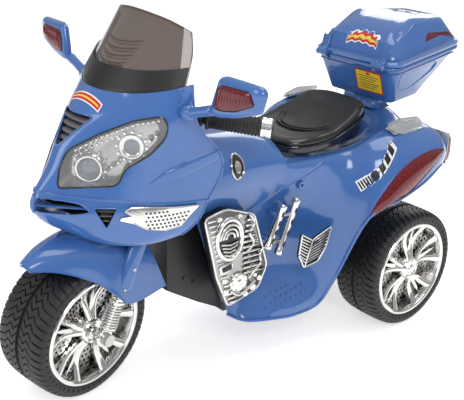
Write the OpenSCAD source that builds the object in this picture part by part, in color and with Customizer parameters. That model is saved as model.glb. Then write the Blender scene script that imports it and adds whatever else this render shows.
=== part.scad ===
// Child's three-wheeled ride-on motorcycle, battery driven, in moulded plastic.
// +X is forward, +Y is the rider's left, +Z is up. The floor is z = 0 and the origin is
// under the middle of the overall box. Places are worked out from the two axles.

/* [Overall] */
// Distance between the front and rear axles, mm
wheelbase = 640; // [560:10:760]
// Height of the seat pan above the floor, mm
seat_z = 345; // [345:5:380]
// Thickness of the moulded body shells, mm
shell_t = 4; // [2.5:0.5:6]

/* [Wheels] */
// Outside diameter of all three tyres, mm
wheel_d = 230; // [210:5:240]
// Width of the front tyre, mm
front_tyre_w = 100; // [84:2:104]
// Width of each rear tyre, mm
rear_tyre_w = 96; // [80:2:104]
// Diameter of the chromed rim in the tyre, mm
rim_d = 186; // [150:2:190]
// Distance from the middle plane to the middle of a rear wheel, mm
rear_half_track = 120; // [118:1:140]
// Diameter of both steel axles, mm
axle_d = 10; // [8:1:14]
// Radial running clearance of axles, pins and shafts, mm
run_gap = 0.05; // [0.02:0.01:0.1]

/* [Steering] */
// Lean of the steering axis from upright, degrees
caster = 22; // [18:1:24]
// How far the front axle sits in front of the steering axis, mm
fork_offset = 14; // [10:1:18]
// Angle that the steering is turned to the left at rest, degrees
steer_rest = 11; // [0:1:15]
// Diameter of the steering shaft, mm
shaft_d = 22; // [18:1:26]
// Half of the gap between the fork legs, mm
fork_half_gap = 57; // [55:1:64]
// Height of the handlebar above the floor, mm
bar_z = 452; // [448:2:480]
// Distance from the middle plane to the end of a grip, mm
bar_half_w = 174; // [160:2:190]
// Diameter of the handlebar tube, mm
bar_d = 20; // [18:1:22]
// Distance from the middle plane to the tip of a mirror, mm
mirror_reach = 284; // [260:2:300]

/* [Top box] */
// Length of the top box along its rim, mm
box_l = 256; // [220:4:280]
// Width of the top box at its front rim, mm
box_w = 194; // [160:2:220]
// Depth of the box base below the rim, mm
box_base_h = 74; // [60:2:80]
// Height of the lid above the rim, mm
box_lid_h = 74; // [50:2:100]
// Tilt of the rim, degrees
box_tilt = 5; // [0:1:8]
// Diameter of the lid's hinge pins, mm
hinge_d = 6; // [4:0.5:8]

/* [Drive] */
// Module of the motor pinion and the first gear, mm
module_1 = 1; // [0.8:0.05:1.1]
// Module of the second stage, mm
module_2 = 1.25; // [1:0.05:1.35]
// Module of the third stage, mm
module_3 = 1.75; // [1.5:0.05:1.8]
// Tooth backlash at the pitch circle, mm
backlash = 0.3; // [0.2:0.05:0.4]
// Diameter of the gears' steel pins, mm
pin_d = 6; // [4:0.5:7]
// Diameter of the motor can, mm
motor_d = 36; // [28:1:37]
// Length, width and height of the battery, mm
battery = [98, 70, 92]; // [40:1:110]

/* [Hidden] */
$fn = 48;

blue = [0.16, 0.33, 0.62];
chrome = [0.86, 0.85, 0.82];
black = [0.05, 0.05, 0.05];

// --- Wheel sizes ---
wheel_r = wheel_d / 2;
rim_r = rim_d / 2;
axle_r = axle_d / 2;
hub_bore_r = axle_r + run_gap;
hub_r = axle_r + 9;
web_t = 6;
crown_drop = 5;
crown_half = 30;

// --- Axle places before the origin is set under the middle of the box ---
front_x = wheelbase / 2;
rear_x = -wheelbase / 2;
rear_z = wheel_r;

// --- Steering geometry ---
// Steered, the leaning axis tips the front wheel: front_lift keeps its tread on the floor.
camber = asin(sin(caster) * sin(steer_rest));
front_lift = crown_half * sin(camber) - wheel_r * (1 - cos(camber))
    + fork_offset * sin(caster) * (1 - cos(steer_rest));
front_z = wheel_r + front_lift;
steer_x = front_x - fork_offset / cos(caster);
function axis_x(z) = steer_x - (z - front_z) * tan(caster);

// --- Top box places ---
box_x = rear_x + 50;
box_z = 490;

// --- Origin: half way between the front of the front tyre and the back of the box ---
axle_ahead = fork_offset / cos(caster);
axle_turn = cos(caster) * sin(steer_rest);
front_reach = steer_x + axle_ahead * (pow(sin(caster), 2) + pow(cos(caster), 2) * cos(steer_rest))
    + wheel_r * sqrt(1 - pow(axle_turn, 2)) + crown_half * axle_turn;
latch_x = -box_l - 2;
rear_reach = box_x + (latch_x - 2) * cos(box_tilt) - 20 * sin(box_tilt);
middle_x = -(front_reach + rear_reach) / 2;

// --- General helpers ---
module placed() translate([middle_x, 0, 0]) children();
module both_sides() {
    children();
    mirror([0, 1, 0]) children();
}
// A side outline, given as [x, z] points, between two y values.
module slab(outline, y_lo, y_hi)
    translate([0, y_hi, 0]) rotate([90, 0, 0]) linear_extrude(y_hi - y_lo) polygon(outline);
// A straight rod along Y.
module rod_y(r, y_lo, y_hi, x = 0, z = 0)
    translate([x, y_hi, z]) rotate([90, 0, 0]) cylinder(r = r, h = y_hi - y_lo);
// A box from its low corner to its high corner.
module block(lo, hi) translate(lo) cube(hi - lo);
module ball_at(p, r) translate(p) sphere(r = r);
// A round bar from one point to another.
module bar_between(a, b, r) {
    d = b - a;
    translate(a) rotate([0, acos(d[2] / norm(d)), atan2(d[1], d[0])]) cylinder(r = r, h = norm(d));
}
// Turns what it holds about the leaning steering axis.
module turned(angle)
    translate([steer_x, 0, front_z]) rotate([0, -caster, 0]) rotate([0, 0, angle])
        rotate([0, caster, 0]) translate([-steer_x, 0, -front_z]) children();
module steered() placed() turned(steer_rest) children();
// The steering axis as a local +Z, with z = 0 where it meets the given height.
module on_steer_axis(z) translate([axis_x(z), 0, z]) rotate([0, -caster, 0]) children();

// --- Curved sheets ---
function blend_points(a, b, c, d, t) = 0.5 * (2 * b + (c - a) * t
    + (2 * a - 5 * b + 4 * c - d) * t * t + (3 * b - a - 3 * c + d) * t * t * t);
// A smooth row through the given points, with `steps` pieces to each span.
function smooth(p, steps) = let (n = len(p) - 1) concat(
    [for (i = [0:n - 1], j = [0:steps - 1])
        blend_points(p[max(i - 1, 0)], p[i], p[i + 1], p[min(i + 2, n)], j / steps)],
    [p[n]]);
function turned_net(net) = [for (j = [0:len(net[0]) - 1]) [for (row = net) row[j]]];
function smooth_net(net, steps) =
    turned_net([for (col = turned_net([for (row = net) smooth(row, steps)])) smooth(col, steps)]);
// A half net starts on the middle plane: this adds its mirror image.
function with_mirror(net) = [for (row = net) concat(
    [for (i = [len(row) - 1:-1:1]) [row[i][0], -row[i][1], row[i][2]]], row)];
function unit(v) = v / max(norm(v), 0.001);
function sheet_normal(net, i, j) =
    let (m = len(net) - 1, n = len(net[0]) - 1,
        down = net[min(i + 1, m)][j] - net[max(i - 1, 0)][j],
        along = net[i][min(j + 1, n)] - net[i][max(j - 1, 0)])
    unit(cross(down, along));
function joined(rows) = [for (row = rows) for (p = row) p];
// A closed thin solid: the net is one face, and the other lies t along the net's normal.
module sheet(net, t) {
    m = len(net);
    n = len(net[0]);
    offset_net = [for (i = [0:m - 1]) [for (j = [0:n - 1]) net[i][j] + t * sheet_normal(net, i, j)]];
    k = m * n;
    net_faces = [for (i = [0:m - 2], j = [0:n - 2]) let (a = i * n + j, b = a + n)
        each [[a, b, a + 1], [a + 1, b, b + 1]]];
    offset_faces = [for (f = net_faces) [k + f[2], k + f[1], k + f[0]]];
    edge = concat([for (j = [0:n - 2]) j], [for (i = [0:m - 2]) i * n + n - 1],
        [for (j = [n - 1:-1:1]) (m - 1) * n + j], [for (i = [m - 1:-1:1]) i * n]);
    e = len(edge);
    rim = [for (i = [0:e - 1]) each let (a = edge[i], b = edge[(i + 1) % e])
        [[a, b, k + a], [b, k + b, k + a]]];
    polyhedron(points = joined(concat(net, offset_net)), faces = concat(net_faces, offset_faces, rim));
}

// --- Gears ---
pressure = 25;
function involute(rb, a) = rb * [cos(a) + a * PI / 180 * sin(a), sin(a) - a * PI / 180 * cos(a)];
function roll_angle(rb, r) = sqrt(max(pow(r / rb, 2) - 1, 0)) * 180 / PI;
function turned_2d(p, a) = [p[0] * cos(a) - p[1] * sin(a), p[0] * sin(a) + p[1] * cos(a)];
// Outline of a spur gear with one tooth centred on +X.
function gear_outline(m, teeth) =
    let (rp = m * teeth / 2, rb = rp * cos(pressure), ra = rp + 0.95 * m, rf = rp - 1.25 * m,
        flank_pitch = roll_angle(rb, rp) - atan(roll_angle(rb, rp) * PI / 180),
        half = 90 / teeth - backlash / rp * 90 / PI + flank_pitch,
        r0 = max(rb, rf), steps = 4,
        rise = [for (i = [0:steps]) let (r = r0 + (ra - r0) * i / steps)
            turned_2d(involute(rb, roll_angle(rb, r)), -half)],
        flank = rf < rb ? concat([turned_2d([rf, 0], -half)], rise) : rise)
    [for (k = [0:teeth - 1]) each concat(
        [for (p = flank) turned_2d(p, k * 360 / teeth)],
        [for (i = [len(flank) - 1:-1:0]) turned_2d([flank[i][0], -flank[i][1]], k * 360 / teeth)])];
// Turn of a driven gear that lies at `dir` degrees from a gear turned by `turn`.
function mesh_turn(dir, turn, teeth, driven) =
    dir + 180 + 180 / driven - (turn - dir) * teeth / driven;
module gear(m, teeth, y_lo, y_hi, turn)
    translate([0, y_hi, 0]) rotate([90, 0, 0])
        rotate([0, 0, turn]) linear_extrude(y_hi - y_lo) polygon(gear_outline(m, teeth));

pinion_teeth = 12;
gear_1_teeth = 60;
gear_2_teeth = 54;
output_teeth = 48;
reach_3 = module_3 * (output_teeth + pinion_teeth) / 2;
reach_2 = module_2 * (gear_2_teeth + pinion_teeth) / 2;
reach_1 = module_1 * (gear_1_teeth + pinion_teeth) / 2;
dir_3 = 20;
dir_2 = 60;
dir_1 = 150;
function step_from(p, d, a) = [p[0] + d * cos(a), p[1] + d * sin(a)];
output_at = [rear_x, rear_z];
gear_2_at = step_from(output_at, reach_3, dir_3);
gear_1_at = step_from(gear_2_at, reach_2, dir_2);
motor_at = step_from(gear_1_at, reach_1, dir_1);
turn_out = 0;
turn_2s = mesh_turn(dir_3, turn_out, output_teeth, pinion_teeth);
turn_1s = mesh_turn(dir_2, turn_2s, gear_2_teeth, pinion_teeth);
turn_p = mesh_turn(dir_1, turn_1s, gear_1_teeth, pinion_teeth);

// --- Gearbox layers, from the wheel inwards ---
chassis_half = 40;
plate_t = 6;
box_inner_y = -chassis_half - 1;
box_outer_y = -(rear_half_track - rear_tyre_w / 2) + 2;
layer_t = (box_inner_y - box_outer_y - 6 - 2) / 3;
layer_3 = box_outer_y + 3.5;
layer_2 = layer_3 + layer_t + 0.5;
layer_1 = layer_2 + layer_t + 0.5;
gear_face = layer_t - 0.5;

// ================= Wheels =================
// Half of a tyre's section, as [radius, half width] points from the hub outwards.
function tyre_outline(w) = [[hub_bore_r + 3, -w / 2 + 14], [hub_r, -w / 2 + 14], [hub_r, -web_t / 2],
    [rim_r - 8, -web_t / 2], [rim_r - 8, -w / 2 + 9], [rim_r, -w / 2 + 1], [wheel_r - 14, -w / 2],
    [wheel_r - crown_drop, -w / 2 + 5], [wheel_r, -crown_half], [wheel_r, crown_half],
    [wheel_r - crown_drop, w / 2 - 5], [wheel_r - 14, w / 2], [rim_r, w / 2 - 1],
    [rim_r - 8, w / 2 - 9], [rim_r - 8, web_t / 2], [hub_r, web_t / 2], [hub_r, w / 2 - 14],
    [hub_bore_r + 3, w / 2 - 14]];
module tyre(w) rotate([90, 0, 0]) rotate_extrude($fn = 96) polygon(tyre_outline(w));
// A dished cap with ten windows, on the +Y side of a wheel. Its domed centre clears the
// axle's end, and `hole_r` opens it for an axle that runs on through.
module hubcap(w, hole_r) {
    face = w / 2 - 4;
    difference() {
        rotate([-90, 0, 0]) rotate_extrude($fn = 96) polygon([[hub_r + 1, web_t / 2 + 0.3],
            [rim_r - 12, web_t / 2 + 0.3], [rim_r - 8.4, web_t / 2 + 3], [rim_r - 8.4, face - 5],
            [rim_r - 3, face + 1.5], [rim_r - 8, face + 3], [rim_r - 14, face - 2],
            [hub_r + 22, face - 8], [hub_r + 12, face - 1], [hub_r, face + 2], [0, face + 2],
            [0, face - 1], [hub_r - 1, face - 1], [hub_r + 9, face - 4], [hub_r + 16, face - 13],
            [rim_r - 16, face - 7], [rim_r - 13, web_t / 2 + 3.3], [hub_r + 1, web_t / 2 + 3.3]]);
        for (i = [0:9]) rotate([0, i * 36, 0])
            block([hub_r + 24, face - 20, -8], [rim_r - 20, face + 10, 8]);
        if (hole_r > 0) rod_y(hole_r, face - 12, face + 12);
    }
}
module bush(w) rotate([-90, 0, 0]) translate([0, 0, w / 2 - 34]) difference() {
    cylinder(r = hub_bore_r + 2.95, h = 20);
    translate([0, 0, -1]) cylinder(r = hub_bore_r, h = 22);
}
module at_front_wheel() steered() translate([front_x, 0, front_z]) children();
module at_rear_wheel(side) placed() translate([rear_x, side * rear_half_track, rear_z]) children();

module front_tyre() color([0.06, 0.06, 0.06]) at_front_wheel() tyre(front_tyre_w);
module front_hubcaps() color(chrome) at_front_wheel() both_sides()
    hubcap(front_tyre_w, axle_r + 1.5);
module front_wheel_bushes() color("ivory") at_front_wheel() both_sides() bush(front_tyre_w);
module front_axle() color("silver") at_front_wheel() rod_y(axle_r, -fork_half_gap - 16, fork_half_gap + 16);
module front_axle_nuts() color("silver") at_front_wheel() both_sides()
    difference() {
        rod_y(10, fork_half_gap + 14.3, fork_half_gap + 24);
        rod_y(axle_r + 0.02, fork_half_gap + 13, fork_half_gap + 18);
    }
module rear_left_tyre() color([0.06, 0.06, 0.06]) at_rear_wheel(1) tyre(rear_tyre_w);
module rear_left_hubcap() color(chrome) at_rear_wheel(1) hubcap(rear_tyre_w, 0);
module rear_left_bushes() color("ivory") at_rear_wheel(1) both_sides() bush(rear_tyre_w);
// The driven wheel's web has four sockets for the output gear's dogs.
dog_r = 5;
dog_ring = hub_r + 10;
module rear_right_tyre() color([0.06, 0.06, 0.06]) at_rear_wheel(-1) difference() {
    tyre(rear_tyre_w);
    for (i = [0:3]) rotate([0, i * 90 + 45, 0]) rod_y(dog_r + 0.3, -10, 10, dog_ring, 0);
}
module rear_right_hubcap() color(chrome) at_rear_wheel(-1) mirror([0, 1, 0])
    hubcap(rear_tyre_w, 0);
rear_end = rear_half_track + rear_tyre_w / 2 - 10.5;
module rear_axle() color("silver") placed() rod_y(axle_r, -rear_end, rear_end, rear_x, rear_z);
module rear_axle_nuts() color("silver") placed() both_sides() difference() {
    rod_y(9, rear_end - 3, rear_end + 2, rear_x, rear_z);
    rod_y(axle_r + 0.02, rear_end - 4, rear_end + 0.1, rear_x, rear_z);
}

// ================= Steering =================
crown_z = 287;
neck_lo = crown_z + 20;
neck_hi = bar_z - 50;
bush_wall = 5;
shaft_r = shaft_d / 2;
neck_r = shaft_r + run_gap + bush_wall + 6;
leg_r = 9;
leg_y = fork_half_gap + leg_r + 1;
leg_top = crown_z - 2;
// A fork leg: axle boss and, along the steering axis, a turned slider with spring rings.
leg_length = (leg_top - front_z) / cos(caster);
spring_lo = 20;
ring_pitch = 6;
ring_profile = [for (i = [0:5]) each let (z = spring_lo + i * ring_pitch)
    [[leg_r, z], [leg_r + 3, z + 1], [leg_r + 3, z + 3], [leg_r, z + 4]]];
module fork_leg() difference() {
    union() {
        rod_y(16, fork_half_gap, fork_half_gap + 14, front_x, front_z);
        translate([front_x, leg_y, front_z]) rotate([0, -caster, 0]) rotate_extrude()
            polygon(concat([[0, 13], [leg_r, 13]], ring_profile,
                [[leg_r, leg_length - 4], [0, leg_length - 4]]));
    }
    rod_y(axle_r + 0.02, fork_half_gap - 1, fork_half_gap + 20, front_x, front_z);
}
module fork_left() color(chrome) steered() fork_leg();
module fork_right() color(chrome) steered() mirror([0, 1, 0]) fork_leg();
crown_x = front_x - (crown_z - front_z) * tan(caster);
module fork_crown() color(black) steered() difference() {
    union() {
        block([crown_x - 12, -leg_y - 12, crown_z - 1], [crown_x + 12, leg_y + 12, crown_z + 10]);
        translate([axis_x(crown_z), 0, crown_z - 1]) cylinder(r = 26, h = 11);
    }
    on_steer_axis(crown_z) translate([0, 0, -30]) cylinder(r = shaft_r + 0.02, h = 60);
}
shaft_lo = crown_z - 4;
module steering_shaft() color("silver") steered() on_steer_axis(shaft_lo)
    cylinder(r = shaft_r, h = (bar_z - 6 - shaft_lo) / cos(caster));
module steering_bushes() color("ivory") placed() for (z = [neck_lo, neck_hi - 24])
    on_steer_axis(z) translate([0, 0, 2]) difference() {
        cylinder(r = shaft_r + run_gap + bush_wall, h = 20);
        translate([0, 0, -1]) cylinder(r = shaft_r + run_gap, h = 22);
    }
bar_mid = [axis_x(bar_z), 0, bar_z];
bar_bend = [axis_x(bar_z) - 2, 64, bar_z];
bar_end = [axis_x(bar_z) - 66, bar_half_w, bar_z];
bar_dir = unit(bar_end - bar_bend);
grip_l = 84;
button_r = 8;
button_y = 12;
module handlebar() color(black) steered() difference() {
    union() {
        bar_between([bar_bend[0], -bar_bend[1], bar_z], bar_bend, bar_d / 2);
        both_sides() {
            bar_between(bar_bend, bar_end - 17.5 * bar_dir, bar_d / 2);
            ball_at(bar_bend, bar_d / 2);
        }
        block([bar_mid[0] - 26, -24, bar_z - 20], [bar_mid[0] + 28, 24, bar_z + 14]);
    }
    on_steer_axis(bar_z) translate([0, 0, -60]) cylinder(r = shaft_r + 0.02, h = 55);
    for (y = [-button_y, button_y]) translate([bar_mid[0] - 12, y, bar_z + 4])
        cylinder(r = button_r + 0.3, h = 20);
}
module grip() difference() {
    bar_between(bar_end - (17 + grip_l) * bar_dir, bar_end - 17.8 * bar_dir, 15);
    bar_between(bar_end - (20 + grip_l) * bar_dir, bar_end - 17 * bar_dir, bar_d / 2 + 0.05);
}
module grip_left() color(black) steered() grip();
module grip_right() color(black) steered() mirror([0, 1, 0]) grip();
module grip_caps() color(chrome) steered() both_sides()
    bar_between(bar_end - 17 * bar_dir, bar_end, 16);
// Thumb buttons stand in wells in the handlebar's middle block.
module thumb_button(y) translate([bar_mid[0] - 12, y, bar_z + 7]) cylinder(r = button_r, h = 10);
module horn_button() color("red") steered() thumb_button(button_y);
module music_button() color("gold") steered() thumb_button(-button_y);

// Mudguard: a beaked cover over the front tyre, open where the fork legs pass through.
guard_net = [
    [[front_x + 111, 0, 250], [front_x + 108, 7, 247], [front_x + 105, 13, 243]],
    [[front_x + 80, 0, 263], [front_x + 74, 20, 256], [front_x + 66, 32, 237]],
    [[front_x + 40, 0, 270], [front_x + 32, 36, 256], [front_x + 18, 56, 216]],
    [[front_x, 0, 271], [front_x - 4, 46, 254], [front_x - 12, 74, 192]],
    [[front_x - 45, 0, 268], [front_x - 46, 52, 250], [front_x - 44, 80, 169]],
    [[front_x - 92, 0, 258], [front_x - 96, 50, 240], [front_x - 118, 78, 174]]
];
module front_mudguard() color(blue) steered() difference() {
    sheet(smooth_net(with_mirror(guard_net), 2), -3);
    both_sides() translate([front_x, leg_y, front_z]) rotate([0, -caster, 0])
        cylinder(r = leg_r + 0.5, h = leg_length);
}

// ================= Chassis =================
belly_half = 50;
belly_x = front_x - 140;
module chassis() color(black) placed() difference() {
    union() {
        // Floor, with its two side plates that carry the rear axle.
        block([rear_x - 45, -chassis_half, 72], [front_x - 280, chassis_half, 78]);
        both_sides() slab([[rear_x - 45, 72], [front_x - 280, 72], [front_x - 280, 130],
            [rear_x + 180, 150], [rear_x + 120, 215], [rear_x - 20, 215], [rear_x - 45, 150]],
            chassis_half - plate_t, chassis_half);
        // Belly pan behind the front wheel: two cheeks and a front wall.
        both_sides() slab([[front_x - 306, 66], [front_x - 211, 113], [front_x - 145, 150],
            [belly_x, 240], [belly_x, 300], [belly_x - 60, 300], [front_x - 280, 130],
            [front_x - 306, 90]], belly_half - 5, belly_half);
        slab([[front_x - 306, 66], [front_x - 211, 113], [front_x - 145, 150], [belly_x, 240],
            [belly_x, 300], [belly_x - 6, 300], [belly_x - 6, 241], [front_x - 151, 154],
            [front_x - 214, 119], [front_x - 306, 72]], -belly_half, belly_half);
        // Neck that holds the steering bushes.
        slab([[belly_x - 3, 296], [belly_x - 3, 240], [belly_x + 20, 305],
            [axis_x(305), 305], [axis_x(neck_hi - 8), neck_hi - 8], [belly_x + 10, neck_hi - 20],
            [belly_x - 30, 300]], -14, 14);
        on_steer_axis(neck_lo) cylinder(r = neck_r, h = (neck_hi - neck_lo) / cos(caster));
    }
    on_steer_axis(neck_lo) translate([0, 0, -10]) cylinder(r = shaft_r + 2, h = 200);
    for (z = [neck_lo, neck_hi - 24]) on_steer_axis(z)
        translate([0, 0, z == neck_lo ? -10 : 2])
            cylinder(r = shaft_r + run_gap + bush_wall + 0.05, h = z == neck_lo ? 32.2 : 60);
    rod_y(axle_r + 0.02, -60, 60, rear_x, rear_z);
    rod_y(motor_d / 2 + 1, -60, 0, motor_at[0], motor_at[1]);
}

// ================= Body shells =================
// Main body: each row crosses the body from the middle plane to its lower edge.
deck = seat_z;
rack_z = 402;
body_net = [
    [[front_x - 176, 0, 404], [front_x - 174, 45, 397], [front_x - 164, 80, 372],
        [front_x - 154, 92, 335], [front_x - 165, 86, 295], [front_x - 200, 72, 230],
        [front_x - 235, 64, 160], [front_x - 262, 60, 105], [front_x - 272, 62, 78]],
    [[front_x - 230, 0, 402], [front_x - 230, 48, 398], [front_x - 232, 84, 372], [front_x - 235, 94, 335],
        [front_x - 240, 84, 295], [front_x - 255, 68, 230], [front_x - 270, 62, 160],
        [front_x - 285, 78, 96], [front_x - 290, 94, 74]],
    [[rear_x + 300, 0, 390], [rear_x + 300, 48, 386], [rear_x + 300, 80, 364], [rear_x + 300, 88, 335],
        [rear_x + 300, 80, 290], [rear_x + 298, 68, 225], [rear_x + 295, 66, 150], [rear_x + 290, 102, 92],
        [rear_x + 288, 108, 68]],
    [[rear_x + 272, 0, deck + 4], [rear_x + 272, 48, deck + 4], [rear_x + 272, 84, deck],
        [rear_x + 270, 90, 325], [rear_x + 268, 82, 285], [rear_x + 264, 72, 220], [rear_x + 258, 72, 148],
        [rear_x + 250, 110, 90], [rear_x + 248, 113, 67]],
    [[rear_x + 215, 0, deck], [rear_x + 215, 50, deck], [rear_x + 215, 92, deck + 1],
        [rear_x + 214, 100, 325], [rear_x + 212, 96, 285], [rear_x + 210, 90, 225], [rear_x + 208, 92, 155],
        [rear_x + 202, 112, 100], [rear_x + 198, 116, 76]],
    [[rear_x + 165, 0, deck], [rear_x + 165, 50, deck], [rear_x + 165, 96, deck + 6],
        [rear_x + 166, 112, 332], [rear_x + 168, 122, 298], [rear_x + 170, 130, 248],
        [rear_x + 172, 132, 195], [rear_x + 174, 130, 150], [rear_x + 174, 128, 124]],
    [[rear_x + 125, 0, deck], [rear_x + 125, 50, deck], [rear_x + 125, 94, deck + 16],
        [rear_x + 126, 122, 368], [rear_x + 128, 150, 348], [rear_x + 132, 164, 315],
        [rear_x + 138, 168, 285], [rear_x + 144, 168, 262], [rear_x + 148, 166, 248]],
    [[rear_x + 78, 0, deck + 6], [rear_x + 78, 48, deck + 6], [rear_x + 78, 90, deck + 30],
        [rear_x + 78, 122, 387], [rear_x + 78, 154, 376], [rear_x + 78, 174, 345], [rear_x + 80, 180, 315],
        [rear_x + 84, 180, 290], [rear_x + 86, 178, 274]],
    [[rear_x + 20, 0, rack_z], [rear_x + 20, 46, 400], [rear_x + 20, 88, 388],
        [rear_x + 20, 122, 393], [rear_x + 20, 156, 382], [rear_x + 20, 177, 358], [rear_x + 20, 183, 334],
        [rear_x + 22, 182, 312], [rear_x + 22, 180, 298]],
    [[rear_x - 30, 0, 396], [rear_x - 30, 44, 392], [rear_x - 30, 84, 378],
        [rear_x - 30, 118, 388], [rear_x - 30, 150, 380], [rear_x - 30, 170, 362], [rear_x - 30, 176, 345],
        [rear_x - 30, 175, 330], [rear_x - 30, 172, 320]],
    [[rear_x - 62, 0, 330], [rear_x - 62, 40, 330], [rear_x - 62, 78, 334],
        [rear_x - 66, 106, 352], [rear_x - 70, 132, 354], [rear_x - 70, 148, 342], [rear_x - 68, 154, 330],
        [rear_x - 66, 153, 318], [rear_x - 64, 150, 308]]
];
socket_at = [rear_x + 250, 305];
module main_body() color(blue) placed() difference() {
    sheet(smooth_net(with_mirror(body_net), 1), shell_t);
    rod_y(socket_r + 0.1, 60, 110, socket_at[0], socket_at[1]);
}

// Front fairing: rows run down from the windscreen to the seam above the chin.
fairing_net = [
    [[293, 0, 490], [285, 35, 490], [265, 70, 494], [238, 100, 502], [205, 122, 514]],
    [[322, 0, 456], [308, 40, 455], [275, 80, 455], [238, 113, 456], [195, 124, 455]],
    [[350, 0, 410], [330, 35, 408], [285, 75, 408], [235, 112, 408], [150, 127, 405]],
    [[365, 0, 375], [345, 32, 372], [295, 75, 372], [235, 112, 370], [146, 127, 372]],
    [[385, 0, 345], [354, 32, 342], [302, 77, 340], [240, 112, 336], [166, 124, 333]]
];
chin_net = [
    [[386, 0, 343.5], [355, 32, 340.5], [303, 77, 338.5], [241, 112, 334.5], [167, 124, 331.5]],
    [[391, 0, 322], [362, 36, 316], [308, 79, 311], [248, 112, 308], [176, 121, 306]],
    [[374, 0, 298], [346, 36, 290], [300, 76, 281], [250, 105, 282], [188, 115, 290]],
    [[352, 0, 288], [328, 35, 274], [292, 72, 268], [248, 97, 270], [200, 109, 279]]
];
screen_net = [
    [[291, 0, 492], [283, 36, 492], [262, 71, 496.5], [236, 100, 505], [214, 116, 512.5]],
    [[258, 0, 550], [251, 34, 549], [235, 66, 548], [213, 92, 550], [196, 105, 552]],
    [[227, 0, 606], [221, 34, 603], [209, 62, 597], [197, 82, 589], [188, 92, 583]]
];
// Nets of the nose are measured from the front axle of a 640 mm wheelbase.
function from_axle(net) = [for (row = net) [for (p = row) [front_x - 320 + p[0], p[1], p[2]]]];
// Headlight outline as [distance along the cheek, height], seen square to the cheek.
lamp_outline = [[0, 350], [82, 353], [112, 378], [136, 404], [150, 446], [144, 463], [60, 440], [8, 400]];
cheek_turn = 44;
// A prism of the lamp's outline, from x_lo to x_hi along the cheek's outward direction.
module lamp_prism(x_lo, x_hi, grow) translate([front_x + 36, 20, 0]) rotate([0, 0, cheek_turn])
    translate([x_lo, 0, 0]) rotate([90, 0, 90]) linear_extrude(x_hi - x_lo)
        translate([75, 400]) scale(grow) translate([-75, -400]) polygon(lamp_outline);
module front_fairing() color(blue) placed() difference() {
    sheet(smooth_net(with_mirror(from_axle(fairing_net)), 2), shell_t - 0.5);
    both_sides() lamp_prism(-70, 30, 1);
}
module lower_fairing() color(blue) placed()
    sheet(smooth_net(with_mirror(from_axle(chin_net)), 2), shell_t - 0.5);
module windscreen() color([0.35, 0.28, 0.24, 0.6]) placed()
    sheet(smooth_net(with_mirror(from_axle(screen_net)), 2), 3);

switch_x = front_x - 112;
switch_y = 60;
module dash_panel() color(blue) placed() difference() {
    hull() {
        block([front_x - 128, -100, 420], [front_x - 118, 100, 425]);
        block([front_x - 76, -56, 420], [front_x - 66, 56, 425]);
    }
    translate([axis_x(422), 0, 410]) cylinder(r = neck_r + 8, h = 40);
    for (y = [-switch_y, switch_y]) block([switch_x - 10.5, y - 6, 410], [switch_x + 10.5, y + 6, 430]);
}
// Lamp units: a bowl block with two lamps behind a curved clear lens.
lens_net = [
    [[343, 27, 396], [325, 46, 417], [304, 66, 434], [270, 92, 449], [244, 110, 456]],
    [[349, 26, 375], [324, 50, 388], [297, 72, 402], [268, 94, 420], [245, 109, 440]],
    [[351, 25, 354], [323, 50, 356], [293, 72, 361], [268, 92, 388], [252, 103, 408]]
];
module headlight_lenses() color([0.9, 0.93, 0.95, 0.5]) placed() both_sides()
    sheet(smooth_net(from_axle(lens_net), 2), 2.5);
lamp_places = [[42, 376, 20], [90, 402, 17]];
module headlight_reflectors() color(chrome) placed() both_sides() difference() {
    lamp_prism(-36, -25.5, 0.9);
    translate([front_x + 36, 20, 0]) rotate([0, 0, cheek_turn])
        for (p = lamp_places) translate([-33, p[0], p[1]]) rotate([0, 90, 0]) cylinder(r = p[2], h = 30);
}
module nose_grille() color("dimgray") placed() hull() {
    block([front_x + 12, -24, 452], [front_x + 14, 24, 454]);
    block([front_x + 38, -2, 410], [front_x + 40, 2, 412]);
}
// Two flat facets on each cheek of the chin.
side_grille_line = [[front_x - 38, 102], [front_x - 80, 122], [front_x - 132, 130]];
module side_grilles() color(chrome) placed() both_sides() for (i = [0:1]) hull()
    for (p = [side_grille_line[i], side_grille_line[i + 1]])
        block([p[0], p[1], 306], [p[0] + 2, p[1] + 2, 326]);
// Moulded engine shape with its air scoop, clipped on the body's waist.
module engine_cover() color(chrome) placed() union() {
    slab([[front_x - 205, 290], [front_x - 245, 300], [front_x - 300, 280], [front_x - 335, 180],
        [front_x - 320, 140], [front_x - 262, 122], [front_x - 236, 180]], 98, 102);
    rod_y(26, 98, 108, front_x - 250, 255);
    rod_y(18, 98, 105, front_x - 262, 195);
}
module exhaust_pipe(x) bar_between([x, 106, 196], [x + 30, 106, 286], 7);
module engine_cover_left() color(chrome) {
    engine_cover();
    placed() for (x = [front_x - 352, front_x - 372]) exhaust_pipe(x);
}
module engine_cover_right() color(chrome) mirror([0, 1, 0]) engine_cover_left();
module side_vents() color("gray") placed() both_sides()
    slab([[rear_x + 270, 230], [rear_x + 198, 232], [rear_x + 225, 170], [rear_x + 262, 165],
        [rear_x + 274, 190]], 124, 132);
module fender_lamps() color([0.85, 0.85, 0.85]) placed() both_sides()
    slab([[rear_x + 84, 396], [rear_x + 50, 408], [rear_x - 2, 406], [rear_x + 6, 399.5],
        [rear_x + 50, 397]], 118, 146);
module fender_reflectors() color([0.5, 0.05, 0.08]) placed() both_sides()
    slab([[rear_x + 134, 252], [rear_x + 70, 300], [rear_x - 20, 352], [rear_x - 46, 352],
        [rear_x - 10, 318], [rear_x + 60, 268]], 187.5, 191);
module tail_lamps() color([0.6, 0.1, 0.1]) placed() both_sides()
    slab([[rear_x - 76, 368], [rear_x - 84, 360], [rear_x - 88, 330], [rear_x - 82, 312],
        [rear_x - 75, 312]], 108, 150);

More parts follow.
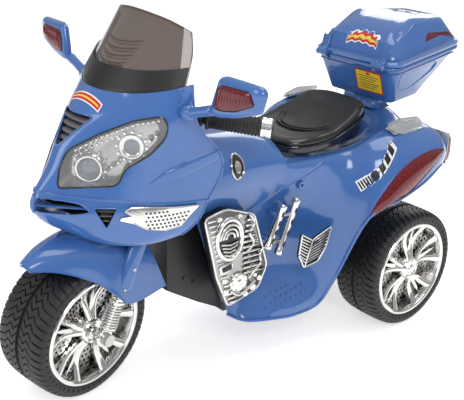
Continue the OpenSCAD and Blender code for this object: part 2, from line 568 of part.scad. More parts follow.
// ================= Seat =================
seat_gap = 6;
module seat() color([0.07, 0.07, 0.07]) placed() hull() {
    lift = seat_z - 345;
    for (s = [-1, 1]) {
        translate([rear_x + 238, s * 46, seat_z + seat_gap]) cylinder(r = 28, h = 26);
        translate([rear_x + 165, s * 56, seat_z + seat_gap + 8]) cylinder(r = 30, h = 36);
        translate([rear_x + 88, s * 40, lift + 386]) cylinder(r = 34, h = 40);
        translate([rear_x + 110, s * 44, lift + 372]) cylinder(r = 36, h = 20);
    }
}

// ================= Top box =================
box_wall = 3;
half_w = box_w / 2;
// The box's own frame: z = 0 is the rim, x = 0 its front edge, and -x runs along it.
module in_box_frame() placed() translate([box_x, 0, box_z]) rotate([0, box_tilt, 0]) children();
module rim_disc(z, h, inset) for (s = [-1, 1]) {
    translate([-22, s * (half_w - 22), z]) cylinder(r = 22 - inset, h = h);
    translate([-box_l + 40, s * (half_w * 0.62 - 40), z]) cylinder(r = 40 - inset, h = h);
}
module base_form(inset) hull() {
    rim_disc(-1, 1, inset);
    for (s = [-1, 1]) {
        translate([-36, s * (half_w - 34), -box_base_h + inset]) cylinder(r = 16 - inset, h = 2);
        translate([-100, s * (half_w - 40), -box_base_h + 1 + inset]) cylinder(r = 16 - inset, h = 2);
        translate([-190, s * (half_w * 0.5 - 20), -box_base_h * 0.55 + inset])
            cylinder(r = 22 - inset, h = 2);
    }
}
module lid_form(inset) hull() {
    rim_disc(0.6, 3, inset);
    for (s = [-1, 1]) {
        translate([-34, s * (half_w - 40), box_lid_h * 0.6 - inset]) cylinder(r = 20 - inset, h = 2);
        translate([-80, s * (half_w - 50), box_lid_h - 2 - inset]) cylinder(r = 26 - inset, h = 2);
        translate([-165, s * (half_w * 0.5 - 22), box_lid_h * 0.86 - inset])
            cylinder(r = 30 - inset, h = 2);
    }
}
hinge_y = half_w - 21;
hinge_at = [8, 1];
module knuckle(y_lo, y_hi) rod_y(hinge_d / 2 + 3, y_lo, y_hi, hinge_at[0], hinge_at[1]);
module box_base() color(blue) in_box_frame() union() {
    difference() {
        base_form(0);
        translate([0, 0, 0.01]) base_form(box_wall);
    }
    // Each hinge pin stands in a lug on the base.
    both_sides() {
        rod_y(hinge_d / 2, hinge_y - 15, hinge_y + 5, hinge_at[0], hinge_at[1]);
        knuckle(hinge_y - 20, hinge_y - 14);
        block([-0.5, hinge_y - 20, -12], [hinge_at[0] + 5, hinge_y - 14, 0]);
    }
}
module box_lid() color(blue) in_box_frame() difference() {
    union() {
        difference() {
            lid_form(0);
            translate([0, 0, -0.01]) lid_form(box_wall);
        }
        both_sides() {
            knuckle(hinge_y - 13.5, hinge_y + 5);
            block([-0.5, hinge_y - 13.5, 1], [hinge_at[0], hinge_y + 5, 13]);
        }
    }
    both_sides() rod_y(hinge_d / 2 + run_gap, hinge_y - 16, hinge_y + 8, hinge_at[0], hinge_at[1]);
}
module box_latch() color(black) in_box_frame() union() {
    block([latch_x - 2, -16, -20], [latch_x, 16, 14]);
    block([latch_x, -12, 8], [latch_x + 1.5, 12, 12]);
}
// The bracket stands on the body's rack and its top lies flat under the box.
module box_bracket() color(blue) hull() {
    placed() block([rear_x - 20, -44, rack_z + 0.2], [rear_x + 20, 44, rack_z + 1]);
    in_box_frame() block([-68, -40, -box_base_h - 1.2], [-24, 40, -box_base_h - 0.2]);
}

// ================= Drive =================
module at_xz(p) placed() translate([p[0], 0, p[1]]) children();
case_pts = [output_at, gear_2_at, gear_1_at, motor_at];
case_r = [module_3 * output_teeth / 2 + 5, module_2 * gear_2_teeth / 2 + 5,
    module_1 * gear_1_teeth / 2 + 5, 18];
module case_form(grow, y_lo, y_hi) hull()
    for (i = [0:3]) rod_y(case_r[i] + grow, y_lo, y_hi, case_pts[i][0], case_pts[i][1]);
module gearbox_housing() color([0.2, 0.2, 0.22]) placed() union() {
    difference() {
        case_form(0, box_outer_y, box_inner_y);
        case_form(-2.5, box_outer_y + 3, box_inner_y - 3);
        rod_y(dog_ring + dog_r + 2, box_outer_y - 5, box_outer_y + 5, rear_x, rear_z);
        rod_y(axle_r + 0.3, box_outer_y - 5, box_inner_y + 5, rear_x, rear_z);
        rod_y(6, box_inner_y - 5, box_inner_y + 5, motor_at[0], motor_at[1]);
    }
    for (p = [gear_1_at, gear_2_at]) rod_y(pin_d / 2, box_outer_y + 2, box_inner_y - 2, p[0], p[1]);
}
module gear_bore(r) rod_y(r, -200, 200);
module output_gear() color("ivory") at_xz(output_at) difference() {
    union() {
        gear(module_3, output_teeth, layer_3, layer_3 + gear_face, turn_out);
        rod_y(dog_ring + dog_r + 1, box_outer_y + 0.3, layer_3 + 1);
        for (i = [0:3]) rotate([0, i * 90 + 45, 0])
            rod_y(dog_r, -rear_half_track - 2.5, layer_3 + 1, dog_ring, 0);
    }
    gear_bore(hub_bore_r);
}
module gear_2() color("ivory") at_xz(gear_2_at) difference() {
    union() {
        gear(module_2, gear_2_teeth, layer_2, layer_2 + gear_face, turn_2s);
        gear(module_3, pinion_teeth, layer_3, layer_2 + 1, turn_2s);
    }
    gear_bore(pin_d / 2 + run_gap);
}
module gear_1() color("ivory") at_xz(gear_1_at) difference() {
    union() {
        gear(module_1, gear_1_teeth, layer_1, layer_1 + gear_face, turn_1s);
        gear(module_2, pinion_teeth, layer_2, layer_1 + 1, turn_1s);
    }
    gear_bore(pin_d / 2 + run_gap);
}
motor_shaft_r = 1.6;
module motor_pinion() color("goldenrod") at_xz(motor_at) difference() {
    gear(module_1, pinion_teeth, layer_1 + 0.2, layer_1 + gear_face, turn_p);
    gear_bore(motor_shaft_r + run_gap);
}
module motor() color("silver") at_xz(motor_at) union() {
    rod_y(motor_d / 2, box_inner_y + 0.3, box_inner_y + 57);
    rod_y(motor_shaft_r, layer_1 + 0.2, box_inner_y + 1);
}
battery_x = rear_x + 215;
module battery_pack() color([0.12, 0.12, 0.14]) placed()
    translate([battery_x - battery[0] / 2, -battery[2] / 2 + 14, 78.4])
        cube([battery[0], battery[1] - 6, battery[2]]);
module battery_strap() color("dimgray") placed() difference() {
    block([battery_x - 12, -33.6, 78.4], [battery_x + 12, 33.6, 78.4 + battery[2] + 3]);
    block([battery_x - 14, -32.6, 70], [battery_x + 14, 32.6, 78.4 + battery[2] + 0.4]);
}

// ================= Controls =================
pedal_x = front_x - 330;
pedal_pivot = [pedal_x - 26, 121];
module foot_pedal() color(black) placed() union() {
    block([pedal_x - 24, -114, 118], [pedal_x + 26, -94, 124]);
    rod_y(4, -114, -94, pedal_pivot[0], pedal_pivot[1]);
}
module rocker(y) placed() translate([switch_x, y, 423]) hull() {
    block([-9, -5, 0], [9, 5, 3]);
    block([-4, -5, 5], [4, 5, 6]);
}
module power_switch() color("red") rocker(switch_y);
module direction_switch() color(black) rocker(-switch_y);
socket_r = 7;
module charge_socket() color(black) placed() difference() {
    rod_y(socket_r, 72, 96, socket_at[0], socket_at[1]);
    rod_y(3, 78, 100, socket_at[0], socket_at[1]);
}
// A mirror: a stem in the fairing's collar, a swept housing and its flat back.
stem_at = [front_x - 100, 131, 475];
stem_run = [-2, 56, 18];
module mirror_body() union() {
    bar_between(stem_at, stem_at + stem_run, 8);
    hull() {
        ball_at(stem_at + stem_run + [0, 4, 1], 8);
        ball_at([front_x - 96, 206, 539], 7);
        ball_at([front_x - 102, mirror_reach - 8, 537], 8);
        ball_at([front_x - 108, mirror_reach - 14, 514], 8);
        ball_at([front_x - 106, mirror_reach - 52, 500], 8);
    }
}
module mirror_left() color(blue) placed() mirror_body();
module mirror_right() color(blue) placed() mirror([0, 1, 0]) mirror_body();
module body_screws() color("silver") placed() both_sides()
    for (p = [[front_x - 200, 113], [front_x - 180, 124]])
        rod_y(3, belly_half + 0.3, belly_half + 2, p[0], p[1] + 40);

chassis();
main_body();
front_fairing();
lower_fairing();
windscreen();
dash_panel();
headlight_reflectors();
headlight_lenses();
nose_grille();
side_grilles();
engine_cover_left();
engine_cover_right();
side_vents();
fender_lamps();
fender_reflectors();
tail_lamps();
box_bracket();
box_base();
box_lid();
box_latch();
seat();
steering_bushes();
steering_shaft();
fork_crown();
fork_left();
fork_right();
front_mudguard();
front_axle();
front_axle_nuts();
handlebar();
grip_left();
grip_right();
grip_caps();
horn_button();
music_button();
front_tyre();
front_hubcaps();
front_wheel_bushes();
rear_axle();
rear_axle_nuts();
rear_left_tyre();
rear_left_hubcap();
rear_left_bushes();
rear_right_tyre();
rear_right_hubcap();
gearbox_housing();
motor();
motor_pinion();
gear_1();
gear_2();
output_gear();
battery_pack();
battery_strap();
foot_pedal();
power_switch();
direction_switch();
charge_socket();
mirror_left();
mirror_right();
body_screws();
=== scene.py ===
"""Looks of a child's three-wheeled ride-on motorcycle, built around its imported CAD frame."""
import math
from math import cos, pi, radians, sin

import bmesh
import bpy
from mathutils import Matrix, Vector
from mathutils.bvhtree import BVHTree

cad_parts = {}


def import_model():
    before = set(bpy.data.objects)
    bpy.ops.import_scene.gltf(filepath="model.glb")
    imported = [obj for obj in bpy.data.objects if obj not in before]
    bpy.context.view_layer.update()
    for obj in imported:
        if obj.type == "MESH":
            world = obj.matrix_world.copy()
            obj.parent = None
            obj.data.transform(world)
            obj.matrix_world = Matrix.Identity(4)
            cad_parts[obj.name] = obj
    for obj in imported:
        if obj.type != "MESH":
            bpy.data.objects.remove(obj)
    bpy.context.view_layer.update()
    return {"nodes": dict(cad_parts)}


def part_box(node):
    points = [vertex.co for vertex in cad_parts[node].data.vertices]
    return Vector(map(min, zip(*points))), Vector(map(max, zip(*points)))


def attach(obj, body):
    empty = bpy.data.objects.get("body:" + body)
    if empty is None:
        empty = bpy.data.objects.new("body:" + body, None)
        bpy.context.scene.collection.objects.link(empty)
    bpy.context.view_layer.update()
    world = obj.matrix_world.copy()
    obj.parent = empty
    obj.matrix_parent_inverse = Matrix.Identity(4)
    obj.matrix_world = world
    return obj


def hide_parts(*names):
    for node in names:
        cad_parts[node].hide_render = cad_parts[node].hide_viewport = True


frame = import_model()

scene = bpy.context.scene
scene.view_settings.view_transform = "Standard"
MM = 0.001
SIDES = ((1, "left"), (-1, "right"))

# --- Places, in millimetres, measured from half way between the two axles ---
FRONT_X = 320.0
REAR_X = -320.0
rear_low, rear_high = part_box("rear_left_tyre")
MIDDLE_X = (rear_low.x + rear_high.x) / 2 / MM - REAR_X
WHEEL_R = (rear_high.z - rear_low.z) / 2 / MM
REAR_TRACK = (rear_low.y + rear_high.y) / 2 / MM
CASTER = radians(22)
STEER_REST = radians(11)
FORK_OFFSET = 14.0
BAR_Z = 452.0
STEER_X = FRONT_X - FORK_OFFSET / cos(CASTER)
CAMBER = math.asin(sin(CASTER) * sin(STEER_REST))
FRONT_Z = (WHEEL_R + 30 * sin(CAMBER) - WHEEL_R * (1 - cos(CAMBER))
           + FORK_OFFSET * sin(CASTER) * (1 - cos(STEER_REST)))
STEER_AXIS = Vector((-sin(CASTER), 0, cos(CASTER)))
STEER_TURN = Matrix.Rotation(STEER_REST, 3, STEER_AXIS)
STEER_AT = Vector((STEER_X, 0, FRONT_Z))
BOX_AT = Vector((REAR_X + 50, 0, 490))
BOX_TILT = Matrix.Rotation(radians(5), 3, "Y")


def V(x, y, z):
    return Vector((x, y, z))


def world(p):
    """Millimetres from the middle of the axles to metres in the frame."""
    return V(p.x + MIDDLE_X, p.y, p.z) * MM


def steered(p):
    return STEER_TURN @ (p - STEER_AT) + STEER_AT


def in_box(p):
    """From the top box's own frame, whose z = 0 is the rim, to the body's."""
    return BOX_TILT @ p + BOX_AT


def axis_x(z):
    return STEER_X - (z - FRONT_Z) * math.tan(CASTER)


# ============================== Materials ==============================
def new_material(name):
    material = bpy.data.materials.new(name)
    material.use_nodes = True
    nodes, links = material.node_tree.nodes, material.node_tree.links
    return material, nodes, links, nodes["Principled BSDF"]


def add_noise(nodes, links, scale, detail=3.0):
    coords = nodes.new("ShaderNodeTexCoord")
    noise = nodes.new("ShaderNodeTexNoise")
    noise.inputs["Scale"].default_value = scale
    noise.inputs["Detail"].default_value = detail
    links.new(coords.outputs["Object"], noise.inputs["Vector"])
    return noise


def add_grain(nodes, links, shader, scale, detail, strength):
    fine = add_noise(nodes, links, scale, detail)
    bump = nodes.new("ShaderNodeBump")
    bump.inputs["Strength"].default_value = strength
    bump.inputs["Distance"].default_value = MM
    links.new(fine.outputs["Fac"], bump.inputs["Height"])
    links.new(bump.outputs["Normal"], shader.inputs["Normal"])


def ramp_between(nodes, links, source, low, high, low_at=0.3, high_at=0.7):
    ramp = nodes.new("ShaderNodeValToRGB")
    ramp.color_ramp.elements[0].position = low_at
    ramp.color_ramp.elements[1].position = high_at
    ramp.color_ramp.elements[0].color = (*low, 1)
    ramp.color_ramp.elements[1].color = (*high, 1)
    links.new(source, ramp.inputs["Fac"])
    return ramp


def angles(count):
    """Equal steps once around."""
    return [2 * pi * k / count for k in range(count)]


def scaled(color, share):
    return tuple(min(1.0, c * share) for c in color)


def moulded(name, color, roughness, grain=900.0, depth=0.04, coat=0.0, metallic=0.0, vary=0.06,
            specular=0.5):
    """Plastic or metal with faint colour drift, uneven gloss and a moulded grain."""
    material, nodes, links, shader = new_material(name)
    drift = add_noise(nodes, links, 14.0)
    tint = ramp_between(nodes, links, drift.outputs["Fac"], scaled(color, 1 - vary),
                        scaled(color, 1 + vary))
    links.new(tint.outputs["Color"], shader.inputs["Base Color"])
    gloss = ramp_between(nodes, links, drift.outputs["Fac"], (roughness * 0.85,) * 3,
                         (min(1.0, roughness * 1.2),) * 3)
    links.new(gloss.outputs["Color"], shader.inputs["Roughness"])
    add_grain(nodes, links, shader, grain, 2.0, depth)
    shader.inputs["Metallic"].default_value = metallic
    shader.inputs["Coat Weight"].default_value = coat
    shader.inputs["Coat Roughness"].default_value = 0.04
    shader.inputs["Specular IOR Level"].default_value = specular
    return material


ACRYLIC_IOR = 1.49


def lens(name, color, clear, roughness=0.05):
    """Moulded clear or tinted plastic: `clear` is the share of light that passes."""
    material, nodes, links, shader = new_material(name)
    drift = add_noise(nodes, links, 30.0)
    tint = ramp_between(nodes, links, drift.outputs["Fac"], scaled(color, 0.94), color)
    links.new(tint.outputs["Color"], shader.inputs["Base Color"])
    shader.inputs["Roughness"].default_value = roughness
    shader.inputs["IOR"].default_value = ACRYLIC_IOR
    shader.inputs["Coat Weight"].default_value = 0.5
    shader.inputs["Coat Roughness"].default_value = 0.02
    shader.inputs["Alpha"].default_value = 1 - clear
    add_grain(nodes, links, shader, 260.0, 1.0, 0.03)
    return material


BLUE = moulded("blue_plastic", (0.046, 0.135, 0.39), 0.14, 500.0, 0.015, coat=0.6, vary=0.04)
BLUE_INNER = moulded("blue_plastic_inside", (0.05, 0.13, 0.34), 0.45, 700.0, 0.12, vary=0.05)
CHROME = moulded("chromed_plastic", (0.76, 0.75, 0.73), 0.13, 300.0, 0.02, metallic=1.0, vary=0.03)
# A darker copy of the chrome for sunk parts (hubcap discs, headlight bowls, the engine's back
# plate, pipe hangers): painted shade.
CHROME_SHADED = moulded("chrome_with_painted_shade", (0.42, 0.41, 0.40), 0.2, 500.0, 0.06, metallic=1.0)
BLACK = moulded("black_plastic", (0.007, 0.007, 0.008), 0.36, 1100.0, 0.12, vary=0.15)
BLACK_GLOSS = moulded("black_gloss", (0.008, 0.008, 0.009), 0.12, 600.0, 0.02, coat=0.4, vary=0.1)
TYRE = moulded("tyre_plastic", (0.009, 0.009, 0.01), 0.5, 1500.0, 0.2, vary=0.2)
VINYL = moulded("seat_vinyl", (0.009, 0.009, 0.01), 0.5, 1800.0, 0.35, vary=0.12)
GRIP = moulded("grip_rubber", (0.012, 0.012, 0.012), 0.5, 1500.0, 0.3, vary=0.15)
STEEL = moulded("zinc_steel", (0.55, 0.55, 0.54), 0.32, 900.0, 0.1, metallic=1.0, vary=0.08)
NYLON = moulded("nylon", (0.72, 0.69, 0.6), 0.45, 800.0, 0.08)
BRASS = moulded("brass", (0.72, 0.52, 0.22), 0.3, 900.0, 0.08, metallic=1.0)
GREY = moulded("grey_plastic", (0.12, 0.12, 0.125), 0.45, 900.0, 0.12)
SILVER = moulded("silver_plastic", (0.55, 0.55, 0.54), 0.3, 800.0, 0.06, metallic=0.8)
RED_LENS = lens("red_lens_plastic", (0.15, 0.003, 0.008), 0.12, 0.08)
CLEAR = lens("clear_plastic", (0.86, 0.9, 0.94), 0.9, 0.02)
SMOKE = lens("smoked_plastic", (0.095, 0.06, 0.045), 0.22, 0.06)
FROST = lens("ribbed_clear", (0.5, 0.52, 0.54), 0.55, 0.08)
PROJECTOR = lens("projector_glass", (0.07, 0.09, 0.13), 0.3, 0.03)
SMOKE_RIDGE = lens("smoked_ridge", (0.03, 0.02, 0.015), 0.05, 0.08)
RED = moulded("red_print", (0.55, 0.015, 0.02), 0.3, 900.0, 0.02)
YELLOW = moulded("yellow_print", (0.82, 0.58, 0.05), 0.35, 900.0, 0.02)
WHITE = moulded("white_print", (0.8, 0.8, 0.8), 0.35, 900.0, 0.02)
BLACK_PRINT = moulded("black_print", (0.01, 0.01, 0.01), 0.3, 900.0, 0.02)
RED_PLASTIC = moulded("red_plastic", (0.5, 0.015, 0.015), 0.22, 700.0, 0.03, coat=0.3)
YELLOW_PLASTIC = moulded("yellow_plastic", (0.8, 0.5, 0.03), 0.25, 700.0, 0.03, coat=0.3)


# ============================== Mesh helpers ==============================
# A part is (points, faces, material), in millimetres. A piece is a list of parts.
def moved(part, place):
    points, faces, material = part
    return [place(p) for p in points], faces, material


def mirrored(part):
    points, faces, material = part
    return [V(p.x, -p.y, p.z) for p in points], [f[::-1] for f in faces], material


def sided(part, side):
    """The part as it is for the left side, 1, or mirrored for the right side, -1."""
    return part if side > 0 else mirrored(part)


def on_both_sides(parts):
    return parts + [mirrored(p) for p in parts]


def make_piece(name, parts, body, replaces=(), bevel=0.0, angle=32.0, segments=2):
    """One object in the frame. `bevel` is in mm; edges flatter than `angle` stay smooth."""
    mesh = bpy.data.meshes.new(name)
    points, faces, kinds, materials = [], [], [], []
    for part_points, part_faces, material in parts:
        start = len(points)
        if material not in materials:
            materials.append(material)
        points += [world(p) for p in part_points]
        faces += [[start + i for i in f] for f in part_faces]
        kinds += [materials.index(material)] * len(part_faces)
    mesh.from_pydata(points, [], faces)
    for material in materials:
        mesh.materials.append(material)
    mesh.polygons.foreach_set("material_index", kinds)
    sheet_mesh = bmesh.new()
    sheet_mesh.from_mesh(mesh)
    bmesh.ops.remove_doubles(sheet_mesh, verts=sheet_mesh.verts, dist=1e-6)
    bmesh.ops.dissolve_degenerate(sheet_mesh, edges=sheet_mesh.edges, dist=1e-6)
    bmesh.ops.recalc_face_normals(sheet_mesh, faces=sheet_mesh.faces)
    sheet_mesh.to_mesh(mesh)
    sheet_mesh.free()
    piece = bpy.data.objects.new(name, mesh)
    scene.collection.objects.link(piece)
    if bevel > 0:
        rounding = piece.modifiers.new("rounding", "BEVEL")
        rounding.width = bevel * MM
        rounding.segments = segments
        rounding.limit_method = "ANGLE"
        rounding.angle_limit = radians(angle)
        rounding.harden_normals = False
    mesh.shade_smooth()
    mesh.set_sharp_from_angle(angle=radians(angle))
    if bevel > 0:
        apply_modifiers(piece)
        piece.data.set_sharp_from_angle(angle=radians(angle + 12))
    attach(piece, body)
    if replaces:
        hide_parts(*replaces)
    return piece


def apply_modifiers(piece):
    bpy.context.view_layer.update()
    evaluated = piece.evaluated_get(bpy.context.evaluated_depsgraph_get())
    mesh = bpy.data.meshes.new_from_object(evaluated)
    piece.modifiers.clear()
    piece.data = mesh


def blend_points(a, b, c, d, t):
    return 0.5 * (2 * b + (c - a) * t + (2 * a - 5 * b + 4 * c - d) * t * t
                  + (3 * b - a - 3 * c + d) * t ** 3)


def smooth(points, steps):
    """A smooth row through the points, with `steps` pieces to each span."""
    last = len(points) - 1
    row = []
    for i in range(last):
        near = [points[max(i - 1, 0)], points[i], points[i + 1], points[min(i + 2, last)]]
        row += [blend_points(*near, j / steps) for j in range(steps)]
    return row + [points[last]]


def turned_net(net):
    return [list(column) for column in zip(*net)]


def smooth_net(net, steps):
    net = [[Vector(p) for p in row] for row in net]
    across = [smooth(row, steps) for row in net]
    return turned_net([smooth(column, steps) for column in turned_net(across)])


def full_net(half):
    """Adds the mirror image of a half net that starts on the middle plane."""
    return [[V(p[0], -p[1], p[2]) for p in row[:0:-1]] + [Vector(p) for p in row] for row in half]


def net_normals(net):
    rows, columns = len(net), len(net[0])
    normals = []
    for i in range(rows):
        for j in range(columns):
            down = net[min(i + 1, rows - 1)][j] - net[max(i - 1, 0)][j]
            along = net[i][min(j + 1, columns - 1)] - net[i][max(j - 1, 0)]
            normals.append(down.cross(along).normalized())
    return normals


def grid_faces(lines, size, wrap_lines=False, wrap_size=False):
    """Quads between `lines` rows of `size` points; either way may close on itself."""
    faces = []
    for i in range(lines if wrap_lines else lines - 1):
        a, b = i * size, (i + 1) % lines * size
        for j in range(size if wrap_size else size - 1):
            k = (j + 1) % size
            faces.append([a + j, a + k, b + k, b + j])
    return faces


def sheet(net, thickness, material):
    """A closed thin shell: `net` is one face and the other lies `thickness` along its normals."""
    rows, columns = len(net), len(net[0])
    flat = [p for row in net for p in row]
    back = [p + thickness * n for p, n in zip(flat, net_normals(net))]
    count = len(flat)
    front_faces = grid_faces(rows, columns)
    back_faces = [[count + i for i in face[::-1]] for face in front_faces]
    edge = ([j for j in range(columns - 1)] + [i * columns + columns - 1 for i in range(rows - 1)]
            + [(rows - 1) * columns + j for j in range(columns - 1, 0, -1)]
            + [i * columns for i in range(rows - 1, 0, -1)])
    rim = [[edge[k], count + edge[k], count + edge[(k + 1) % len(edge)], edge[(k + 1) % len(edge)]]
           for k in range(len(edge))]
    return flat + back, front_faces + back_faces + rim, material


def lathe(profile, material, count=48, closed=False, axis="Y"):
    """Turns (radius, along) points about an axis through the origin."""
    points = []
    for angle in angles(count):
        for radius, along in profile:
            u, w = radius * cos(angle), radius * sin(angle)
            points.append(V(u, along, w) if axis == "Y" else V(u, w, along) if axis == "Z"
                          else V(along, u, w))
    return points, grid_faces(count, len(profile), True, closed), material


def aligned(direction):
    """A turn that takes +Z to the direction."""
    return Vector(direction).normalized().to_track_quat("Z", "Y").to_matrix()


def rod(a, b, radius, material, count=24, end_radius=None):
    """A round rod with closed ends from a to b."""
    a, b = Vector(a), Vector(b)
    length = (b - a).length
    end = radius if end_radius is None else end_radius
    part = lathe([(0, 0), (radius, 0), (end, length), (0, length)], material, count, axis="Z")
    turn = aligned(b - a)
    return moved(part, lambda p: turn @ p + a)


def turned_bar(a, b, profile, material, count=32):
    """A turned form of (radius, share of length) points from a to b."""
    a, b = Vector(a), Vector(b)
    length = (b - a).length
    turn = aligned(b - a)
    part = lathe([(r, s * length) for r, s in profile], material, count, axis="Z")
    return moved(part, lambda p: turn @ p + a)


def tube(path, radius, material, count=10, closed=False):
    """A round tube swept along a path of points."""
    path = [Vector(p) for p in path]
    size = len(path)
    points = []
    up = V(0, 0, 1)
    for i, p in enumerate(path):
        ahead = path[(i + 1) % size] if closed or i < size - 1 else p
        behind = path[i - 1] if closed or i > 0 else p
        run = (ahead - behind).normalized()
        side = run.cross(up)
        if side.length < 0.05:
            side = run.cross(V(0, 1, 0))
        side.normalize()
        lift = side.cross(run).normalized()
        points += [p + radius * (cos(a) * side + sin(a) * lift) for a in angles(count)]
    faces = grid_faces(size, count, closed, True)
    if not closed:
        faces += [list(range(count))[::-1], [(size - 1) * count + k for k in range(count)]]
    return points, faces, material


def prism(outline, low, high, material, place):
    """Extrudes a flat [u, w] outline from low to high; `place` sets u, w, height into space."""
    size = len(outline)
    points = [place(u, w, low) for u, w in outline] + [place(u, w, high) for u, w in outline]
    faces = [list(range(size))[::-1], [size + i for i in range(size)]]
    faces += [[i, (i + 1) % size, size + (i + 1) % size, size + i] for i in range(size)]
    return points, faces, material


def side_place(u, w, y):
    return V(u, y, w)


def block(low, high, material, place=lambda p: p):
    corners = [V(x, y, z) for x in (low[0], high[0]) for y in (low[1], high[1])
               for z in (low[2], high[2])]
    faces = [[0, 1, 3, 2], [4, 6, 7, 5], [0, 4, 5, 1], [2, 3, 7, 6], [0, 2, 6, 4], [1, 5, 7, 3]]
    return [place(p) for p in corners], faces, material


def rounded(outline, radius, count=4):
    """Rounds the corners of a closed [u, w] outline."""
    size, result = len(outline), []
    for i in range(size):
        before, here, after = (Vector(outline[k % size]).to_2d() for k in (i - 1, i, i + 1))
        reach = min(radius, (before - here).length * 0.45, (after - here).length * 0.45)
        a = here + (before - here).normalized() * reach
        b = here + (after - here).normalized() * reach
        for k in range(count + 1):
            t = k / count
            q = (1 - t) ** 2 * a + 2 * t * (1 - t) * here + t * t * b
            result.append([q.x, q.y])
    return result


def round_box(x0, y0, x1, y1, radius, count):
    """A closed rectangle with rounded corners."""
    return rounded([(x0, y0), (x1, y0), (x1, y1), (x0, y1)], radius, count)


def loft(rings, material, cap_start=True, cap_end=True):
    """Skins a list of closed rings that have the same number of points."""
    size = len(rings[0])
    points = [p for ring in rings for p in ring]
    faces = grid_faces(len(rings), size, False, True)
    if cap_start:
        faces.append(list(range(size))[::-1])
    if cap_end:
        faces.append([(len(rings) - 1) * size + k for k in range(size)])
    return points, faces, material


def solid_object(part):
    """A loose helper object for cutting, from one closed part."""
    points, faces, _ = part
    mesh = bpy.data.meshes.new("cutter")
    mesh.from_pydata([world(p) for p in points], [], faces)
    work = bmesh.new()
    work.from_mesh(mesh)
    bmesh.ops.recalc_face_normals(work, faces=work.faces)
    work.to_mesh(mesh)
    work.free()
    helper = bpy.data.objects.new("cutter", mesh)
    scene.collection.objects.link(helper)
    return helper


def carve(piece, part, how="DIFFERENCE"):
    """Cuts a piece by a closed part, or keeps only what lies inside it."""
    helper = solid_object(part)
    cut = piece.modifiers.new("cut", "BOOLEAN")
    cut.operation = how
    cut.solver = "EXACT"
    cut.object = helper
    apply_modifiers(piece)
    bpy.data.objects.remove(helper)
    piece.data.set_sharp_from_angle(angle=radians(35))


class Skin:
    """Finds points on a curved net, for what is laid on it."""

    def __init__(self, net):
        points = [p for row in net for p in row]
        self.tree = BVHTree.FromPolygons(points, grid_faces(len(net), len(net[0])))

    def drop(self, start, direction, lift=0.0):
        """Where a ray meets the skin, lifted back towards its start."""
        direction = Vector(direction).normalized()
        hit = self.tree.ray_cast(Vector(start), direction)[0]
        if hit is None:
            hit = self.tree.find_nearest(Vector(start))[0]
        return hit - direction * lift


def on_front(skin, y, z, lift=0.0):
    """The point of a skin that is seen from straight ahead at y, z."""
    return skin.drop(V(430, y, z), (-1, 0, 0), lift)


def laid(skin, outline, origin, across, up, direction, lift, depth, material, steps=6):
    """A thin patch with a flat outline, dropped along `direction` on to a skin."""
    origin, across, up = Vector(origin), Vector(across), Vector(up)
    ring = []
    size = len(outline)
    for i in range(size):
        a, b = Vector(outline[i]), Vector(outline[(i + 1) % size])
        ring += [a.lerp(b, k / steps) for k in range(steps)]
    centre = sum(ring, Vector((0, 0))) / len(ring)
    rows = []
    for share in (1.0, 0.82, 0.6, 0.35, 0.12):
        rows.append([skin.drop(origin + across * q.x + up * q.y, direction, lift)
                     for q in (centre + (r - centre) * share for r in ring)])
    low = [p + Vector(direction).normalized() * depth for p in rows[0]]
    return loft([low] + rows, material)


# ============================== Stage ==============================
FLOOR_GLOW = 0.62


def make_stage():
    bpy.ops.mesh.primitive_plane_add(size=40, location=(0, 0, 0))
    floor = bpy.context.object
    floor.name = "floor"
    white = moulded("floor_white", (0.8, 0.8, 0.8), 0.7, 40.0, 0.0, vary=0.005, specular=0.2)
    shader = white.node_tree.nodes["Principled BSDF"]
    shader.inputs["Emission Color"].default_value = (1, 1, 1, 1)
    shader.inputs["Emission Strength"].default_value = FLOOR_GLOW
    floor.data.materials.append(white)


def area_light(name, place, target, size, power, tint=(1, 1, 1)):
    data = bpy.data.lights.new(name, "AREA")
    data.shape = "RECTANGLE"
    data.size, data.size_y = size
    data.energy = power
    data.color = tint
    light = bpy.data.objects.new(name, data)
    light.location = place
    light.rotation_euler = (Vector(target) - Vector(place)).to_track_quat("-Z", "Y").to_euler()
    scene.collection.objects.link(light)


def make_lights():
    area_light("key", (1.6, 2.6, 2.4), (0, 0, 0.3), (1.5, 1.1), 36)
    area_light("front", (3.0, -0.4, 1.5), (0, 0, 0.3), (1.1, 1.5), 15)
    area_light("top", (-0.3, 0.2, 2.9), (0, 0, 0.3), (2.0, 1.4), 22)
    area_light("back", (-2.6, -1.6, 1.8), (0, 0, 0.3), (1.6, 1.4), 18)
    sky = bpy.data.worlds.new("studio")
    scene.world = sky
    sky.use_nodes = True
    nodes, links = sky.node_tree.nodes, sky.node_tree.links
    coords = nodes.new("ShaderNodeTexCoord")
    split = nodes.new("ShaderNodeSeparateXYZ")
    links.new(coords.outputs["Generated"], split.inputs["Vector"])
    shade = ramp_between(nodes, links, split.outputs["Z"], (0.42, 0.43, 0.45), (1.0, 1.0, 1.0),
                         0.02, 0.55)
    links.new(shade.outputs["Color"], nodes["Background"].inputs["Color"])
    nodes["Background"].inputs["Strength"].default_value = 0.6


CAMERA_AT = Vector((1.0733, 1.1344, 0.8187))
CAMERA_LENS = 72.2


def make_camera():
    """The same view as a photographer's, low and to the front left, tilted a little."""
    turn, rise, roll = 0.836, 0.350, 0.077
    ahead = -V(cos(turn) * cos(rise), sin(turn) * cos(rise), sin(rise))
    level = ahead.cross(V(0, 0, 1)).normalized()
    lift = level.cross(ahead)
    right = cos(roll) * level + sin(roll) * lift
    up = -sin(roll) * level + cos(roll) * lift
    data = bpy.data.cameras.new("camera")
    data.lens = CAMERA_LENS
    camera = bpy.data.objects.new("camera", data)
    matrix = Matrix((right, up, -ahead)).transposed().to_4x4()
    matrix.translation = CAMERA_AT
    camera.matrix_world = matrix
    scene.collection.objects.link(camera)
    scene.camera = camera


